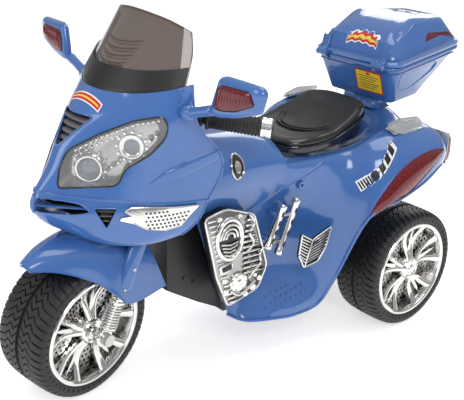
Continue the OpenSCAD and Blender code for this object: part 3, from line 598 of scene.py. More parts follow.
# ============================== Wheels ==============================
RIM_R = 93.0
FRONT_TYRE_WIDTH = 100.0
TREAD_PITCHES = 54


def tyre_part(width):
    """A hard plastic tyre: a centre groove, slanted blocks, shoulder ribs and rim notches."""
    half = width / 2
    # Each row across the tyre: (radius, half-width share, groove depth, notch depth, slant).
    rows = [(16, 0.62, 0, 0, 0), (16, 0.08, 0, 0, 0), (RIM_R - 9, 0.08, 0, 0, 0),
            (RIM_R - 9, 0.8, 0, 0, 0), (RIM_R - 1, 0.955, 0, 0, 0), (RIM_R + 2.5, 0.985, 0, 0, 0),
            (RIM_R + 4, 0.992, 0, 1.6, 0), (RIM_R + 7, 0.998, 0, 1.6, 0),
            (RIM_R + 8.5, 1.0, 0, 0, 0), (WHEEL_R - 10, 0.99, 0, 0, 0),
            (WHEEL_R - 7.5, 0.972, 1.6, 0, 0), (WHEEL_R - 4.6, 0.93, 2.2, 0, 0.05),
            (WHEEL_R - 2.8, 0.86, 2.6, 0, 0.1), (WHEEL_R - 1.5, 0.74, 2.6, 0, 0.2),
            (WHEEL_R - 0.9, 0.64, 2.6, 0, 0.3), (WHEEL_R - 0.8, 0.62, 0.2, 0, 0.3),
            (WHEEL_R - 0.7, 0.585, 0.2, 0, 0.3), (WHEEL_R - 0.6, 0.57, 2.8, 0, 0.35),
            (WHEEL_R - 0.2, 0.4, 2.8, 0, 1.1), (WHEEL_R, 0.25, 2.8, 0, 0.5),
            (WHEEL_R, 0.09, 2.8, 0, 1.2), (WHEEL_R, 0.075, 0.2, 0, 1.2),
            (WHEEL_R - 3.5, 0.055, 0, 0, 1.2), (WHEEL_R - 3.5, 0.0, 0, 0, 1.2)]
    across = rows + [(r, -s, g, n, slant) for r, s, g, n, slant in rows[-2::-1]]
    marks = [(0.0, 0), (0.05, 1), (0.2, 1), (0.25, 0), (0.55, 0), (0.8, 0)]
    points = []
    for k in range(TREAD_PITCHES):
        for share, sunk in marks:
            for radius, side, groove, notch, slant in across:
                angle = 2 * pi * (k + share + slant) / TREAD_PITCHES
                r = radius - groove * sunk
                y = side * half - math.copysign(notch * sunk, side)
                points.append(V(r * cos(angle), y, r * sin(angle)))
    return points, grid_faces(TREAD_PITCHES * len(marks), len(across), True, True), TYRE


def perforated_disc(inner, outer, y, material):
    """A thin disc with rings of square holes."""
    rings, count = 13, 84
    radii = [inner + (outer - inner) * i / rings for i in range(rings + 1)]
    points, faces = [], []
    for level in (y, y - 1.2):
        for radius in radii:
            points += [V(radius * cos(a), level, radius * sin(a)) for a in angles(count)]
    half = len(points) // 2

    def hole(i, k):
        return 0 < i < rings - 1 and i % 2 == 1 and (k + i // 2) % 2 == 0

    for i in range(rings):
        for k in range(count):
            a, b = i * count + k, i * count + (k + 1) % count
            c, d = a + count, b + count
            if not hole(i, k):
                faces += [[a, b, d, c], [half + c, half + d, half + b, half + a]]
            else:
                faces += [[p, q, half + q, half + p] for p, q in ((a, b), (b, d), (d, c), (c, a))]
    return points, faces, material


def spoke(turn, spread_hub, spread_rim, face):
    """One ridged spoke that dishes inwards between the hub and the rim."""
    rings = []
    for i in range(9):
        t = i / 8
        radius = 17 + (RIM_R - 7 - 17) * t
        angle = turn + spread_hub + (spread_rim - spread_hub) * t ** 0.8
        width = 4.4 + 3.4 * t * t + 1.0 * (1 - t) ** 3
        y = face - 4 - 11 * sin(pi * t) ** 1.2 + 4 * t
        out = V(cos(angle), 0, sin(angle))
        side = V(-sin(angle), 0, cos(angle))
        rings.append([out * radius + side * u * width + V(0, y + lift, 0)
                      for u, lift in ((-1, -7), (-1, -1), (-0.62, 0.8), (0, 1.7), (0.62, 0.8),
                                      (1, -1), (1, -7))])
    return loft(rings, CHROME)


def hubcap_parts(width):
    """The chromed cap on the +Y side of a wheel: rim, barrel, ten spokes, disc and hub."""
    face = width / 2 - 4
    parts = [lathe([(RIM_R - 0.5, face + 1), (RIM_R - 2.5, face + 3.4), (RIM_R - 6, face + 3.6),
                    (RIM_R - 8.5, face + 2), (RIM_R - 10, face - 2), (RIM_R - 12, face - 16),
                    (RIM_R - 16, face - 26), (RIM_R - 9.3, face - 26), (RIM_R - 9.3, face - 8),
                    (RIM_R - 1, face - 2)], CHROME, 96, closed=True),
             # The perforated disc is in the darker chrome: painted shade behind the spokes.
             perforated_disc(22, RIM_R - 15, face - 21, CHROME_SHADED),
             lathe([(12, face - 25), (RIM_R - 15, face - 25), (RIM_R - 15, face - 26.5),
                    (12, face - 26.5)], BLACK, 72, closed=True),
             lathe([(0, face + 2.2), (6, face + 2.2), (8, face + 1), (9, face - 1.2),
                    (13, face - 1.6), (14.5, face - 0.4), (19, face - 1), (21.5, face - 4),
                    (23, face - 9), (24, face - 20), (10, face - 20), (0, face - 18)], CHROME, 60)]
    for angle in angles(5):
        middle = angle + 0.3
        parts += [spoke(middle, -0.13, -0.30, face), spoke(middle, 0.13, 0.30, face)]
        bolt_at = V(16.6 * cos(middle), face - 2, 16.6 * sin(middle))
        parts.append(rod(bolt_at, bolt_at + V(0, 2.6, 0), 2.1, STEEL, 6))
        fin = [V(r * cos(middle + a), face - 12 + lift, r * sin(middle + a))
               for r, a, lift in ((24, -0.16, 0), (62, -0.05, 2), (RIM_R - 12, 0, 3),
                                  (62, 0.05, 2), (24, 0.16, 0))]
        parts.append((fin + [p - V(0, 4, 0) for p in fin],
                      [[0, 1, 2, 3, 4], [9, 8, 7, 6, 5]]
                      + [[i, 5 + i, 5 + (i + 1) % 5, (i + 1) % 5] for i in range(5)], CHROME))
    for angle in angles(30):
        pin = V((RIM_R - 11.4) * cos(angle), face - 5, (RIM_R - 11.4) * sin(angle))
        parts.append(rod(pin, pin + V(0, 1.2, 0), 1.1, STEEL, 6))
    return parts


def wheel_place(centre, turned=False):
    def place(p):
        moved_point = centre + p
        return steered(moved_point) if turned else moved_point
    return place


def make_wheels():
    front = wheel_place(V(FRONT_X, 0, FRONT_Z), True)
    low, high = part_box("rear_left_tyre")
    rear_width = (high.y - low.y) / MM
    make_piece("front_tyre_tread", [moved(tyre_part(FRONT_TYRE_WIDTH), front)], "front_wheel",
               ["front_tyre"], angle=40)
    caps = hubcap_parts(FRONT_TYRE_WIDTH)
    make_piece("front_wheel_caps", [moved(p, front) for p in on_both_sides(caps)], "front_wheel",
               ["front_hubcaps"], angle=35)
    for side, label in SIDES:
        place = wheel_place(V(REAR_X, side * REAR_TRACK, WHEEL_R))
        body = f"rear_{label}_wheel"
        make_piece(f"rear_{label}_tyre_tread", [moved(tyre_part(rear_width), place)], body,
                   [f"rear_{label}_tyre"], angle=40)
        caps = hubcap_parts(rear_width)
        make_piece(f"rear_{label}_wheel_cap", [moved(sided(p, side), place) for p in caps], body,
                   [f"rear_{label}_hubcap"], angle=35)


# ============================== Fork and mudguard ==============================
LEG_Y = 67.0
AXLE_AT = V(FRONT_X, 0, FRONT_Z)


def on_leg(distance, side=1):
    return AXLE_AT + V(0, side * LEG_Y, 0) + STEER_AXIS * distance


def helix(start, axis, radius, length, turns, wire, material):
    axis = Vector(axis).normalized()
    turn = aligned(axis)
    path = []
    for k in range(turns * 20 + 1):
        angle = 2 * pi * k / 20
        path.append(start + turn @ V(radius * cos(angle), radius * sin(angle),
                                     length * k / (turns * 20)))
    return tube(path, wire, material, 8)


def fork_parts(side):
    a, b = on_leg(13, side), on_leg(175, side)
    slider = turned_bar(a, b, [(0, 0), (7.5, 0), (9, 0.01), (9, 0.3), (10.4, 0.31), (10.4, 0.34),
                               (9, 0.35), (9, 0.98), (8, 1), (0, 1)], CHROME)
    parts = [slider, helix(on_leg(20, side), STEER_AXIS, 10.2, 36, 8, 1.6, CHROME)]
    for at in (15, 58):
        parts.append(turned_bar(on_leg(at, side), on_leg(at + 5, side),
                                [(0, 0), (11.5, 0), (12.4, 0.25), (12.4, 0.75), (11.5, 1), (0, 1)],
                                CHROME))
    boss = lathe([(5, 57), (14, 57), (15.5, 58.5), (15.5, 69), (14, 71), (5, 71)], CHROME, 40,
                 closed=True)
    parts.append(moved(sided(boss, side), lambda p: p + AXLE_AT))
    parts.append(block((-7, side * 58 - 1.5 * (side < 0), 8), (7, side * 58 + 10 * side, 18),
                       CHROME, lambda p: p + AXLE_AT + V(-5, 0, 2)))
    return [moved(p, steered) for p in parts]


def guard_net():
    x = FRONT_X
    return full_net([
        [(x + 111, 0, 250), (x + 108, 7, 247), (x + 105, 13, 243)],
        [(x + 80, 0, 263), (x + 74, 20, 256), (x + 66, 32, 237)],
        [(x + 40, 0, 270), (x + 32, 36, 256), (x + 18, 56, 216)],
        [(x, 0, 271), (x - 4, 46, 254), (x - 12, 74, 192)],
        [(x - 45, 0, 268), (x - 46, 52, 250), (x - 44, 80, 169)],
        [(x - 92, 0, 258), (x - 96, 50, 240), (x - 118, 78, 174)]])


def make_fork():
    for side, label in SIDES:
        make_piece(f"fork_leg_{label}", fork_parts(side), "steering",
                   [f"fork_{label}"], bevel=0.4, angle=40)
    net = smooth_net(guard_net(), 8)
    parts = [sheet(net, -3, BLUE)]
    edge = offset_net(net, 1.8)
    parts.append(tube(edge[0] + [row[-1] for row in edge[1:]], 1.7, BLUE, 8))
    parts.append(tube([row[0] for row in edge] + edge[-1][1:], 1.7, BLUE, 8))
    guard = make_piece("mudguard_shell", [moved(p, steered) for p in parts], "steering",
                       ["front_mudguard"], angle=38)
    for side in (1, -1):
        hole = rod(on_leg(40, side), on_leg(200, side), 10.2, BLUE, 32)
        carve(guard, moved(hole, steered))
        sleeve = turned_bar(on_leg(84, side), on_leg(168, side),
                            [(10.4, 0), (13, 0.0), (14, 0.06), (13.4, 0.85), (12, 1), (10.4, 1)],
                            BLUE)
        screw = rod(on_leg(120, side) + V(4, side * 12, 0), on_leg(120, side)
                    + V(4, side * 14.6, 0), 3, STEEL, 12)
        make_piece(f"fork_sleeve_{'left' if side > 0 else 'right'}",
                   [moved(sleeve, steered), moved(screw, steered)], "steering",
                   bevel=0.5)


# ============================== Body shells ==============================
SHELL = 3.5


def fairing_net():
    return full_net([
        [(293, 0, 490), (285, 35, 490), (265, 70, 494), (238, 100, 502), (205, 122, 514)],
        [(322, 0, 456), (308, 40, 455), (275, 80, 455), (238, 113, 456), (195, 124, 455)],
        [(350, 0, 410), (330, 35, 408), (285, 75, 408), (235, 112, 408), (150, 127, 405)],
        [(365, 0, 375), (345, 32, 372), (295, 75, 372), (235, 112, 370), (146, 127, 372)],
        [(385, 0, 345), (354, 32, 342), (302, 77, 340), (240, 112, 336), (166, 124, 333)]])


def chin_net():
    return full_net([
        [(386, 0, 343.5), (355, 32, 340.5), (303, 77, 338.5), (241, 112, 334.5), (167, 124, 331.5)],
        [(391, 0, 322), (362, 36, 316), (308, 79, 311), (248, 112, 308), (176, 121, 306)],
        [(374, 0, 298), (346, 36, 290), (300, 76, 281), (250, 105, 282), (188, 115, 290)],
        [(352, 0, 288), (328, 35, 274), (292, 72, 268), (248, 97, 270), (200, 109, 279)]])


def screen_net():
    return full_net([
        [(291, 0, 492), (283, 36, 492), (262, 71, 496.5), (236, 100, 505), (214, 116, 512.5)],
        [(258, 0, 550), (251, 34, 549), (235, 66, 548), (213, 92, 550), (196, 105, 552)],
        [(227, 0, 606), (221, 34, 603), (209, 62, 597), (197, 82, 589), (188, 92, 583)]])


# The plane that a headlight faces.
CHEEK_TURN = radians(44)
CHEEK_AT = V(FRONT_X + 36, 20, 0)
CHEEK_OUT = V(cos(CHEEK_TURN), sin(CHEEK_TURN), 0)
CHEEK_ALONG = V(-sin(CHEEK_TURN), cos(CHEEK_TURN), 0)
# Its outline: distance along that plane from the inner edge, and height.
LAMP_OUTLINE = [(0, 353), (83, 362), (91, 386), (126, 410), (146, 434), (151, 452), (143, 469),
                (102, 459), (54, 437), (6, 408), (-4, 384), (-5, 358)]
LAMP_BROW = [(6, 408), (54, 437), (102, 459), (143, 469)]
LAMP_MIDDLE = Vector((70, 408))


def cheek_place(u, w, out):
    return CHEEK_AT + CHEEK_ALONG * u + V(0, 0, w) + CHEEK_OUT * out


def lamp_ring(grow, radius=10):
    scaled_outline = [LAMP_MIDDLE + (Vector(p) - LAMP_MIDDLE) * grow for p in LAMP_OUTLINE]
    return rounded([(p.x, p.y) for p in scaled_outline], radius, 5)


def lamp_solid(grow, low, high, material):
    return prism(lamp_ring(grow), low, high, material, cheek_place)


def flank_sheet(net, thickness, material):
    """A thin shell with its second face nearer the middle plane than the net."""
    part = sheet(net, -thickness, material)
    points = part[0]
    middle = len(points) // 4
    outwards = points[len(points) // 2 + middle].y > points[middle].y
    return sheet(net, thickness, material) if outwards else part


def open_edge(net):
    """The net's edge apart from its first row."""
    return [row[0] for row in net] + net[-1][1:-1] + [row[-1] for row in net[::-1]]


def offset_net(net, offset):
    """The net moved out along its normals."""
    normals = net_normals(net)
    columns = len(net[0])
    return [[p + offset * normals[i * columns + j] for j, p in enumerate(row)]
            for i, row in enumerate(net)]


GRILLE = [(-36, 457), (36, 457), (18, 431), (5, 411), (-5, 411), (-18, 431)]


def make_fairing():
    net = offset_net(smooth_net(fairing_net(), 10), SHELL)
    shell = make_piece("nose_fairing", [sheet(net, -SHELL, BLUE)], "body",
                       ["front_fairing"], angle=35)
    for side in (1, -1):
        cutter = lamp_solid(1.0, -75, 40, BLUE)
        carve(shell, sided(cutter, side))
    slot_outline = rounded(GRILLE, 5, 4)
    carve(shell, prism(slot_outline, 290, 400, BLUE, lambda u, w, h: V(h, u, w)))
    rim = tube(open_edge(net), 1.9, BLUE, 8)
    make_piece("fairing_edge_bead", [rim], "body")
    return net


def make_nose_grille(skin):
    """A dark shield with four slats, sunk in the nose, and its raised frame."""
    outline = rounded(GRILLE, 5, 4)
    ring = [on_front(skin, u, w, 0.6) for u, w in outline]
    parts = [tube(ring, 1.5, BLUE, 8, closed=True)]
    back = [p - V(16, 0, 0) for p in ring]
    parts.append(loft([ring, back], BLACK, False, True))
    for k in range(5):
        height = 452 - k * 9.2
        half = 31 - k * 6.2
        front = on_front(skin, 0, height).x
        bar = [V(front - 4 - 3.2 * abs(u) ** 2, u * half, height - 5)
               for u in (-1, -0.6, 0, 0.6, 1)]
        parts.append(loft([[p + V(0, 0, -2.6), p + V(1.6, 0, 0), p + V(0, 0, 2.4), p + V(-9, 0, 4)]
                           for p in bar], GREY))
    make_piece("nose_grille_slats", parts, "body", ["nose_grille"], bevel=0.3,
               angle=40)
    # A plain two-tone arc above the grille, with no mark on it.
    for inset, material, lift in ((0, WHITE, 0.3), (1.6, RED, 0.5), (4.4, YELLOW, 0.7)):
        rows = []
        for w in (inset, 5.5, 11 - inset):
            rows.append([on_front(skin, y, 473.5 - 10 * (y / 38) ** 2 + w, lift)
                         for y in (-(38 - inset) + 2 * (38 - inset) * k / 24 for k in range(25))])
        make_piece(f"nose_arc_{material.name}", [sheet(rows, 0.25, material)], "body")


def headlight_parts(face_point):
    """Bowl, two lamps and rows of facets; `face_point` drops a place on the cheek to the skin."""
    ring = lamp_ring(0.985)
    rim = [face_point(u, w, -1.2) for u, w in ring]
    middle = [cheek_place(*(LAMP_MIDDLE + (Vector(p) - LAMP_MIDDLE) * 0.93), 0) for p in ring]
    middle = [m + CHEEK_OUT * ((r - CHEEK_AT).dot(CHEEK_OUT) - 14) for m, r in zip(middle, rim)]
    floor = [cheek_place(*(LAMP_MIDDLE + (Vector(p) - LAMP_MIDDLE) * 0.84), -24) for p in ring]
    # The bowl is in the darker chrome: painted shade inside the lamp.
    bowl = loft([rim, middle, floor], CHROME_SHADED, False, True)
    back = loft([[p - CHEEK_OUT * 2.0 for p in floor], [p - CHEEK_OUT * 2.1 for p in rim]], BLACK,
                True, False)
    parts = [bowl, back]
    lamps = ((37, 381, 21), (97, 417, 19))
    for u, w, radius in lamps:
        depth = (face_point(u, w) - CHEEK_AT).dot(CHEEK_OUT)
        base = cheek_place(u, w, -24)
        front = cheek_place(u, w, depth - 9)
        length = (front - base).length
        parts.append(turned_bar(base, front, [(0, 0.0), (radius, 0.0), (radius, 0.7),
                                              (radius - 1, 1.0), (radius - 3.4, 1.0),
                                              (radius - 5, 0.78), (radius - 8, 0.55),
                                              (radius - 9, 0.4), (0, 0.3)], CHROME, 48))
        parts.append(turned_bar(base + (front - base) * 0.35, front,
                                [(radius - 7, 0), (radius - 6.2, 0.35), (radius - 9, 0.75),
                                 (radius - 14, 0.93), (0, 1.0)], PROJECTOR, 40))
        for a in angles(12):
            seat_point = cheek_place(u + (radius + 3.4) * cos(a), w + (radius + 3.4) * sin(a), -20)
            parts.append(rod(seat_point, seat_point + CHEEK_OUT * min(8, length - 6), 2.3, CHROME,
                             8, 1.2))
    for k in range(17):
        t = (k + 0.5) / 17
        u = 12 + 126 * t
        w = read_row(LAMP_BROW, u) - 8
        hit = face_point(u, w)
        stone = hit - CHEEK_OUT * 9
        for drop in (0, 9):
            spot = stone - V(0, 0, drop) - CHEEK_OUT * drop * 0.5
            parts.append(rod(spot - CHEEK_OUT * 5, spot, 4.4, CHROME, 6, 1.6))
    for k in range(9):
        u, w = 62 + k * 9, 380 + k * 7.5
        if all((Vector((u, w)) - Vector(l[:2])).length > l[2] + 3 for l in lamps):
            base = cheek_place(u, w, -22)
            parts.append(rod(base, base + CHEEK_OUT * 14, 5.5, CHROME, 5, 2))
    return parts


def make_headlights(skin, net):
    """Both headlights, each with a clear cover in the skin and a seal around it."""
    def face_point(u, w, lift=0.0):
        return skin.drop(cheek_place(u, w, 60), -CHEEK_OUT, lift)

    parts = headlight_parts(face_point)
    bead = tube([face_point(u, w, 0.3) for u, w in lamp_ring(0.995)], 1.25, BLACK_GLOSS, 8, True)
    for side, label in SIDES:
        make_piece(f"headlight_bowl_{label}", [sided(p, side) for p in parts], "body",
                   ["headlight_reflectors"] if side > 0 else [], bevel=0.35,
                   angle=40)
        cover = make_piece(f"headlight_cover_{label}", [sheet(net, -1.8, CLEAR)], "body",
                           ["headlight_lenses"] if side > 0 else [])
        cutter = lamp_solid(0.982, -70, 60, CLEAR)
        carve(cover, sided(cutter, side), "INTERSECT")
        make_piece(f"headlight_seal_{label}", [sided(bead, side)], "body")


def vent_place(u, w, h=0.0, side=1):
    """Where a point of a chin vent's outline lies; h runs outwards."""
    return V(330 - u * 0.81 + h, side * (64 + u * 0.59 + h), 329 + w)


def make_chin():
    """The lower fairing, with a wide mouth, two side vents and a bead along its edge."""
    net = offset_net(smooth_net(chin_net(), 10), SHELL)
    skin = Skin(net)
    shell = make_piece("chin_fairing", [sheet(net, -SHELL, BLUE)], "body",
                       ["lower_fairing"], angle=35)
    mouth = rounded([(-30, 337.5), (30, 337.5), (52, 334), (65, 322), (50, 317), (-50, 317),
                     (-65, 322), (-52, 334)], 6, 4)
    carve(shell, prism(mouth, 300, 420, BLUE, lambda u, w, h: V(h, u, w)))
    vent = rounded([(0, 0), (36, 1), (21, -32)], 5, 4)
    for side in (1, -1):
        carve(shell, prism(vent, -30, 30, BLUE, lambda u, w, h: vent_place(u, w, h, side)))
    line = (net[0] + [row[-1] for row in net[1:]] + [p + V(0, 0, 3.2) for p in net[-1][-2::-1]]
            + [row[0] for row in net[-2:0:-1]])
    rim = tube(line, 1.5, BLUE, 8, closed=True)
    make_piece("chin_edge_bead", [rim], "body")
    make_chin_openings(skin, mouth, vent)


def make_chin_openings(skin, mouth, vent):
    """Dark linings behind the mouth and both vents, with their blades, and the chin's inserts."""
    parts = []
    ring = [on_front(skin, u, w, -2.2) for u, w in mouth]
    parts.append(loft([ring, [p - V(22, 0, 0) for p in ring]], BLACK, False, True))
    blade = [on_front(skin, u, 326, -5) for u in range(-60, 61, 4)]
    parts.append(loft([[p + V(0, 0, -1.6), p + V(3.5, 0, 0), p + V(0, 0, 1.6), p + V(-12, 0, 1.6),
                        p + V(-12, 0, -1.6)] for p in blade], BLUE))
    parts.append(tube([on_front(skin, u, w, 0.5) for u, w in mouth], 1.4, BLUE, 8, True))
    post = [on_front(skin, 0, w, 1.0) for w in (312, 318, 325, 332, 339)]
    parts.append(loft([[p + V(0, -3.4, 0), p + V(1.6, 0, 0), p + V(0, 3.4, 0), p + V(-8, 3.4, 0),
                        p + V(-8, -3.4, 0)] for p in post], BLUE))
    make_piece("chin_mouth", parts, "body", bevel=0.3, angle=40)
    for side, label in SIDES:
        out = V(1, 1, 0).normalized()
        ring = [skin.drop(vent_place(u, w) + out * 40, -out, -1.8) for u, w in vent]
        parts = [loft([ring, [p - out * 12 for p in ring]], BLACK, False, True),
                 tube([p + out * 2.2 for p in ring], 1.2, BLUE, 8, True)]
        for k in range(3):
            w = -5.5 - k * 7.2
            a, b = (skin.drop(vent_place(u, w) + out * 40, -out, -4.5)
                    for u in (5 + k * 4.4, 31 - k * 3.6))
            parts.append(loft([[p + V(0, 0, 1.4), p + out * 3, p - V(0, 0, 1.0), p - out * 6]
                               for p in (a, b)], GREY))
        make_piece(f"chin_vent_{label}", [sided(p, side) for p in parts], "body",
                   bevel=0.2)
        make_chin_insert(skin, side, label)


def make_chin_insert(skin, side, label):
    """A chromed insert with rows of small dark holes and a two-pronged tip, on the chin's cheek."""
    start, end = V(300, 88, 0), V(182, 126, 0)
    run = end - start
    out = V(run.y, -run.x, 0).normalized()
    out = out if out.x > 0 else -out

    def place(u, w, lift):
        return skin.drop(start + run * u + V(0, 0, w) + out * 60, -out, lift)

    outline = [(0.05, 327), (0.12, 332), (0.24, 333), (0.6, 331), (0.99, 328), (0.9, 318),
               (0.76, 299), (0.56, 295), (0.3, 300), (0.17, 309), (0.0, 313.5), (0.01, 316),
               (0.15, 319), (0.1, 323)]
    ring = rounded([(u * 100, w) for u, w in outline], 2.2, 3)
    parts = [laid(skin, ring, start + out * 60, run / 100, V(0, 0, 1), -out, 4.0, 5, CHROME, 2)]
    for row in range(5):
        for k in range(13):
            u = 0.3 + k * 0.052 + (row % 2) * 0.026
            w = 300 + row * 6.0 + (u - 0.3) * 5
            low, high = 296 + 8 * abs(u - 0.6), 329 - 3 * u
            if low + 2 < w < high - 2 and u < 0.72 + 0.2 * (w - 296) / 30:
                hole = [place(u + a * 0.012, w + b, 4.9) for a, b in
                        ((-1, -1.1), (0.2, -1.5), (1.1, -0.6), (1.1, 0.6), (-0.2, 1.4), (-1, 1.1))]
                parts.append(loft([[p - out * 2 for p in hole], hole], BLACK))
    edge = [place(u / 100, w, 3.6) for u, w in ring]
    parts.append(tube(edge, 1.1, CHROME, 6, True))
    make_piece(f"chin_insert_{label}", [sided(p, side) for p in parts], "body",
               ["side_grilles"] if label == "left" else [], bevel=0.25, angle=45)


def make_windscreen():
    """A smoked screen with a dark skirt and four curved louvres pressed into it."""
    net = offset_net(smooth_net(screen_net(), 10), 2.4)
    skin = Skin(net)
    make_piece("screen_shell", [sheet(net, -2.6, SMOKE)], "body", ["windscreen"],
               angle=40)
    make_piece("screen_edge", [tube([p - V(0.4, 0, 2.2) for p in open_edge(net)], 1.5, SMOKE, 8)],
               "body")
    # Louvres: four ridges that dip to the middle, above a small V.
    parts = []
    for k in range(4):
        half, height = 34 + 3 * k, 532 + 10.4 * k
        path = [on_front(skin, half * t, height - 5 + 5 * t * t, 0.6)
                for t in (-1 + j / 8 for j in range(17))]
        parts.append(tube(path, 1.35, SMOKE_RIDGE, 6))
        parts.append(tube([p - V(0.4, 0, 4.5) for p in path[1:-1]], 0.9, SMOKE_RIDGE, 6))
    v_path = [on_front(skin, y, z, 0.8) for y, z in ((-7, 516), (0, 508), (7, 516))]
    parts.append(tube(v_path, 1.2, SMOKE_RIDGE, 6))
    make_piece("screen_louvres", parts, "body")
    inside = offset_net(net, -4.6)
    skirt = [[p - V(-2, 0, 10) for p in inside[0]]] + inside[:7]
    make_piece("screen_skirt", [sheet(skirt, -1.5, BLACK)], "body")


SEAT_Z = 345


def body_net():
    f, r, deck = FRONT_X, REAR_X, SEAT_Z
    return full_net([[(f - 176, 0, 404), (f - 174, 45, 397), (f - 164, 80, 372),
                      (f - 154, 92, 335), (f - 165, 86, 295), (f - 200, 72, 230),
                      (f - 235, 64, 160), (f - 262, 60, 105), (f - 272, 62, 78)],
                     [(f - 230, 0, 402), (f - 230, 48, 398), (f - 232, 84, 372),
                      (f - 235, 94, 335), (f - 240, 84, 295), (f - 255, 68, 230),
                      (f - 270, 62, 160), (f - 285, 78, 96), (f - 290, 94, 74)],
                     [(r + 300, 0, 390), (r + 300, 48, 386), (r + 300, 80, 364),
                      (r + 300, 88, 335), (r + 300, 80, 290), (r + 298, 68, 225),
                      (r + 295, 66, 150), (r + 290, 102, 92), (r + 288, 108, 68)],
                     [(r + 272, 0, deck + 4), (r + 272, 48, deck + 4), (r + 272, 84, deck),
                      (r + 270, 90, 325), (r + 268, 82, 285), (r + 264, 72, 220),
                      (r + 258, 72, 148), (r + 250, 110, 90), (r + 248, 113, 67)],
                     [(r + 215, 0, deck), (r + 215, 50, deck), (r + 215, 92, deck + 1),
                      (r + 214, 100, 325), (r + 212, 96, 285), (r + 210, 90, 225),
                      (r + 208, 92, 155), (r + 202, 112, 100), (r + 198, 116, 76)],
                     [(r + 165, 0, deck), (r + 165, 50, deck), (r + 165, 96, deck + 6),
                      (r + 166, 112, 332), (r + 168, 122, 298), (r + 170, 130, 248),
                      (r + 172, 132, 195), (r + 174, 130, 150), (r + 174, 128, 124)],
                     [(r + 125, 0, deck), (r + 125, 50, deck), (r + 125, 94, deck + 16),
                      (r + 126, 122, 368), (r + 128, 150, 348), (r + 132, 164, 315),
                      (r + 138, 168, 285), (r + 144, 168, 262), (r + 148, 166, 248)],
                     [(r + 78, 0, deck + 6), (r + 78, 48, deck + 6), (r + 78, 90, deck + 30),
                      (r + 78, 122, 387), (r + 78, 154, 376), (r + 78, 174, 345),
                      (r + 80, 180, 315), (r + 84, 180, 290), (r + 86, 178, 274)],
                     [(r + 20, 0, 402), (r + 20, 46, 400), (r + 20, 88, 388), (r + 20, 122, 393),
                      (r + 20, 156, 382), (r + 20, 177, 358), (r + 20, 183, 334),
                      (r + 22, 182, 312), (r + 22, 180, 298)],
                     [(r - 30, 0, 396), (r - 30, 44, 392), (r - 30, 84, 378), (r - 30, 118, 388),
                      (r - 30, 150, 380), (r - 30, 170, 362), (r - 30, 176, 345),
                      (r - 30, 175, 330), (r - 30, 172, 320)],
                     [(r - 62, 0, 330), (r - 62, 40, 330), (r - 62, 78, 334), (r - 66, 106, 352),
                      (r - 70, 132, 354), (r - 70, 148, 342), (r - 68, 154, 330),
                      (r - 66, 153, 318), (r - 64, 150, 308)]])


def make_main_body():
    net = smooth_net(body_net(), 6)
    parts = [sheet(net, 4, BLUE)]
    for column, shift in ((0, V(0, 1, 0)), (-1, V(0, -1, 0))):
        parts.append(tube([row[column] + shift for row in net], 3.4, BLUE, 8))
    make_piece("body_shell", parts, "body", ["main_body"], angle=40)
    return Skin(net)


# ============================== Seat ==============================
def read_row(row, x):
    """The value at x in a row of (x, value) points, read along straight lines."""
    row = sorted(row)
    for (x0, v0), (x1, v1) in zip(row, row[1:]):
        if x0 <= x <= x1:
            return v0 + (v1 - v0) * (x - x0) / (x1 - x0)
    return row[0][1] if x < row[0][0] else row[-1][1]


SEAT_MIDDLE = Vector((-160, 0, 0))
SEAT_PLAN = [(-54.5, 0), (-56, 28), (-63, 55), (-84, 73), (-120, 80), (-155, 84.5), (-195, 80),
             (-232, 72), (-256, 54), (-265, 28), (-265.5, 0)]
SEAT_TOP = [(-266, 425), (-232, 422), (-195, 403), (-155, 388), (-120, 381), (-82, 377.5),
            (-54, 374)]
SEAT_FOOT = [(-266, 388), (-246, 376), (-185, 368), (-155, 361), (-110, 353), (-54, 352.5)]


def seat_ring(share, level, sink=0.0):
    """A ring of the seat: share of the plan, and level from 0 at its foot to 1 at its top."""
    side = smooth([V(x, y, 0) for x, y in SEAT_PLAN], 5)
    plan = side + [V(p.x, -p.y, 0) for p in side[-2:0:-1]]
    ring = []
    for p in plan:
        q = SEAT_MIDDLE + (p - SEAT_MIDDLE) * share
        low, high = read_row(SEAT_FOOT, p.x), read_row(SEAT_TOP, q.x)
        ring.append(V(q.x, q.y, low + (high - low) * level - sink))
    return ring


def make_seat():
    """A grained pad with two moulded steps, in a glossy tray with a bright lip."""
    tray = [seat_ring(0.93, 0.02), seat_ring(0.985, 0.0), seat_ring(0.995, 0.12),
            seat_ring(0.985, 0.3), seat_ring(0.995, 0.42), seat_ring(0.998, 0.47),
            seat_ring(0.985, 0.52), seat_ring(0.96, 0.54)]
    make_piece("seat_tray", [loft(tray, BLACK_GLOSS, True, True)], "seat",
               angle=50)
    pad = [seat_ring(0.965, 0.5), seat_ring(0.985, 0.56), seat_ring(0.992, 0.68),
           seat_ring(0.985, 0.8), seat_ring(0.965, 0.9), seat_ring(0.93, 0.965),
           seat_ring(0.88, 0.99)]
    pad += [seat_ring(s, 1.0, k) for s,
            k in ((0.84, 0.3), (0.83, 1.2), (0.82, 1.9), (0.62, 2.6), (0.5, 2.9), (0.49, 3.5),
                  (0.48, 4.1), (0.3, 4.6), (0.12, 4.8))]
    arcs = [[V(x, y, read_row(SEAT_TOP, x) - 2.0) for x,
             y in ((-180 + reach * cos(a), reach * 0.98 * sin(a))
                   for a in (radians(-72 + 9 * k) for k in range(17)))] for reach in (56, 64)]
    cushion = make_piece("seat_pad",
                         [loft(pad[:6], BLACK_GLOSS, True, False),
                          loft(pad[5:], VINYL, False, True)]
                         + [tube(arc, 1.6, VINYL, 8) for arc in arcs], "seat",
                         ["seat"], angle=60)
    lip = tube(seat_ring(1.0, 0.5), 1.6, BLACK_GLOSS, 8, closed=True)
    parts = [lip]
    for y in (-30, 30):
        parts.append(rod((-58, y - 9, 354), (-58, y + 9, 354), 3.4, BLACK, 16))
    make_piece("seat_lip", parts, "seat")


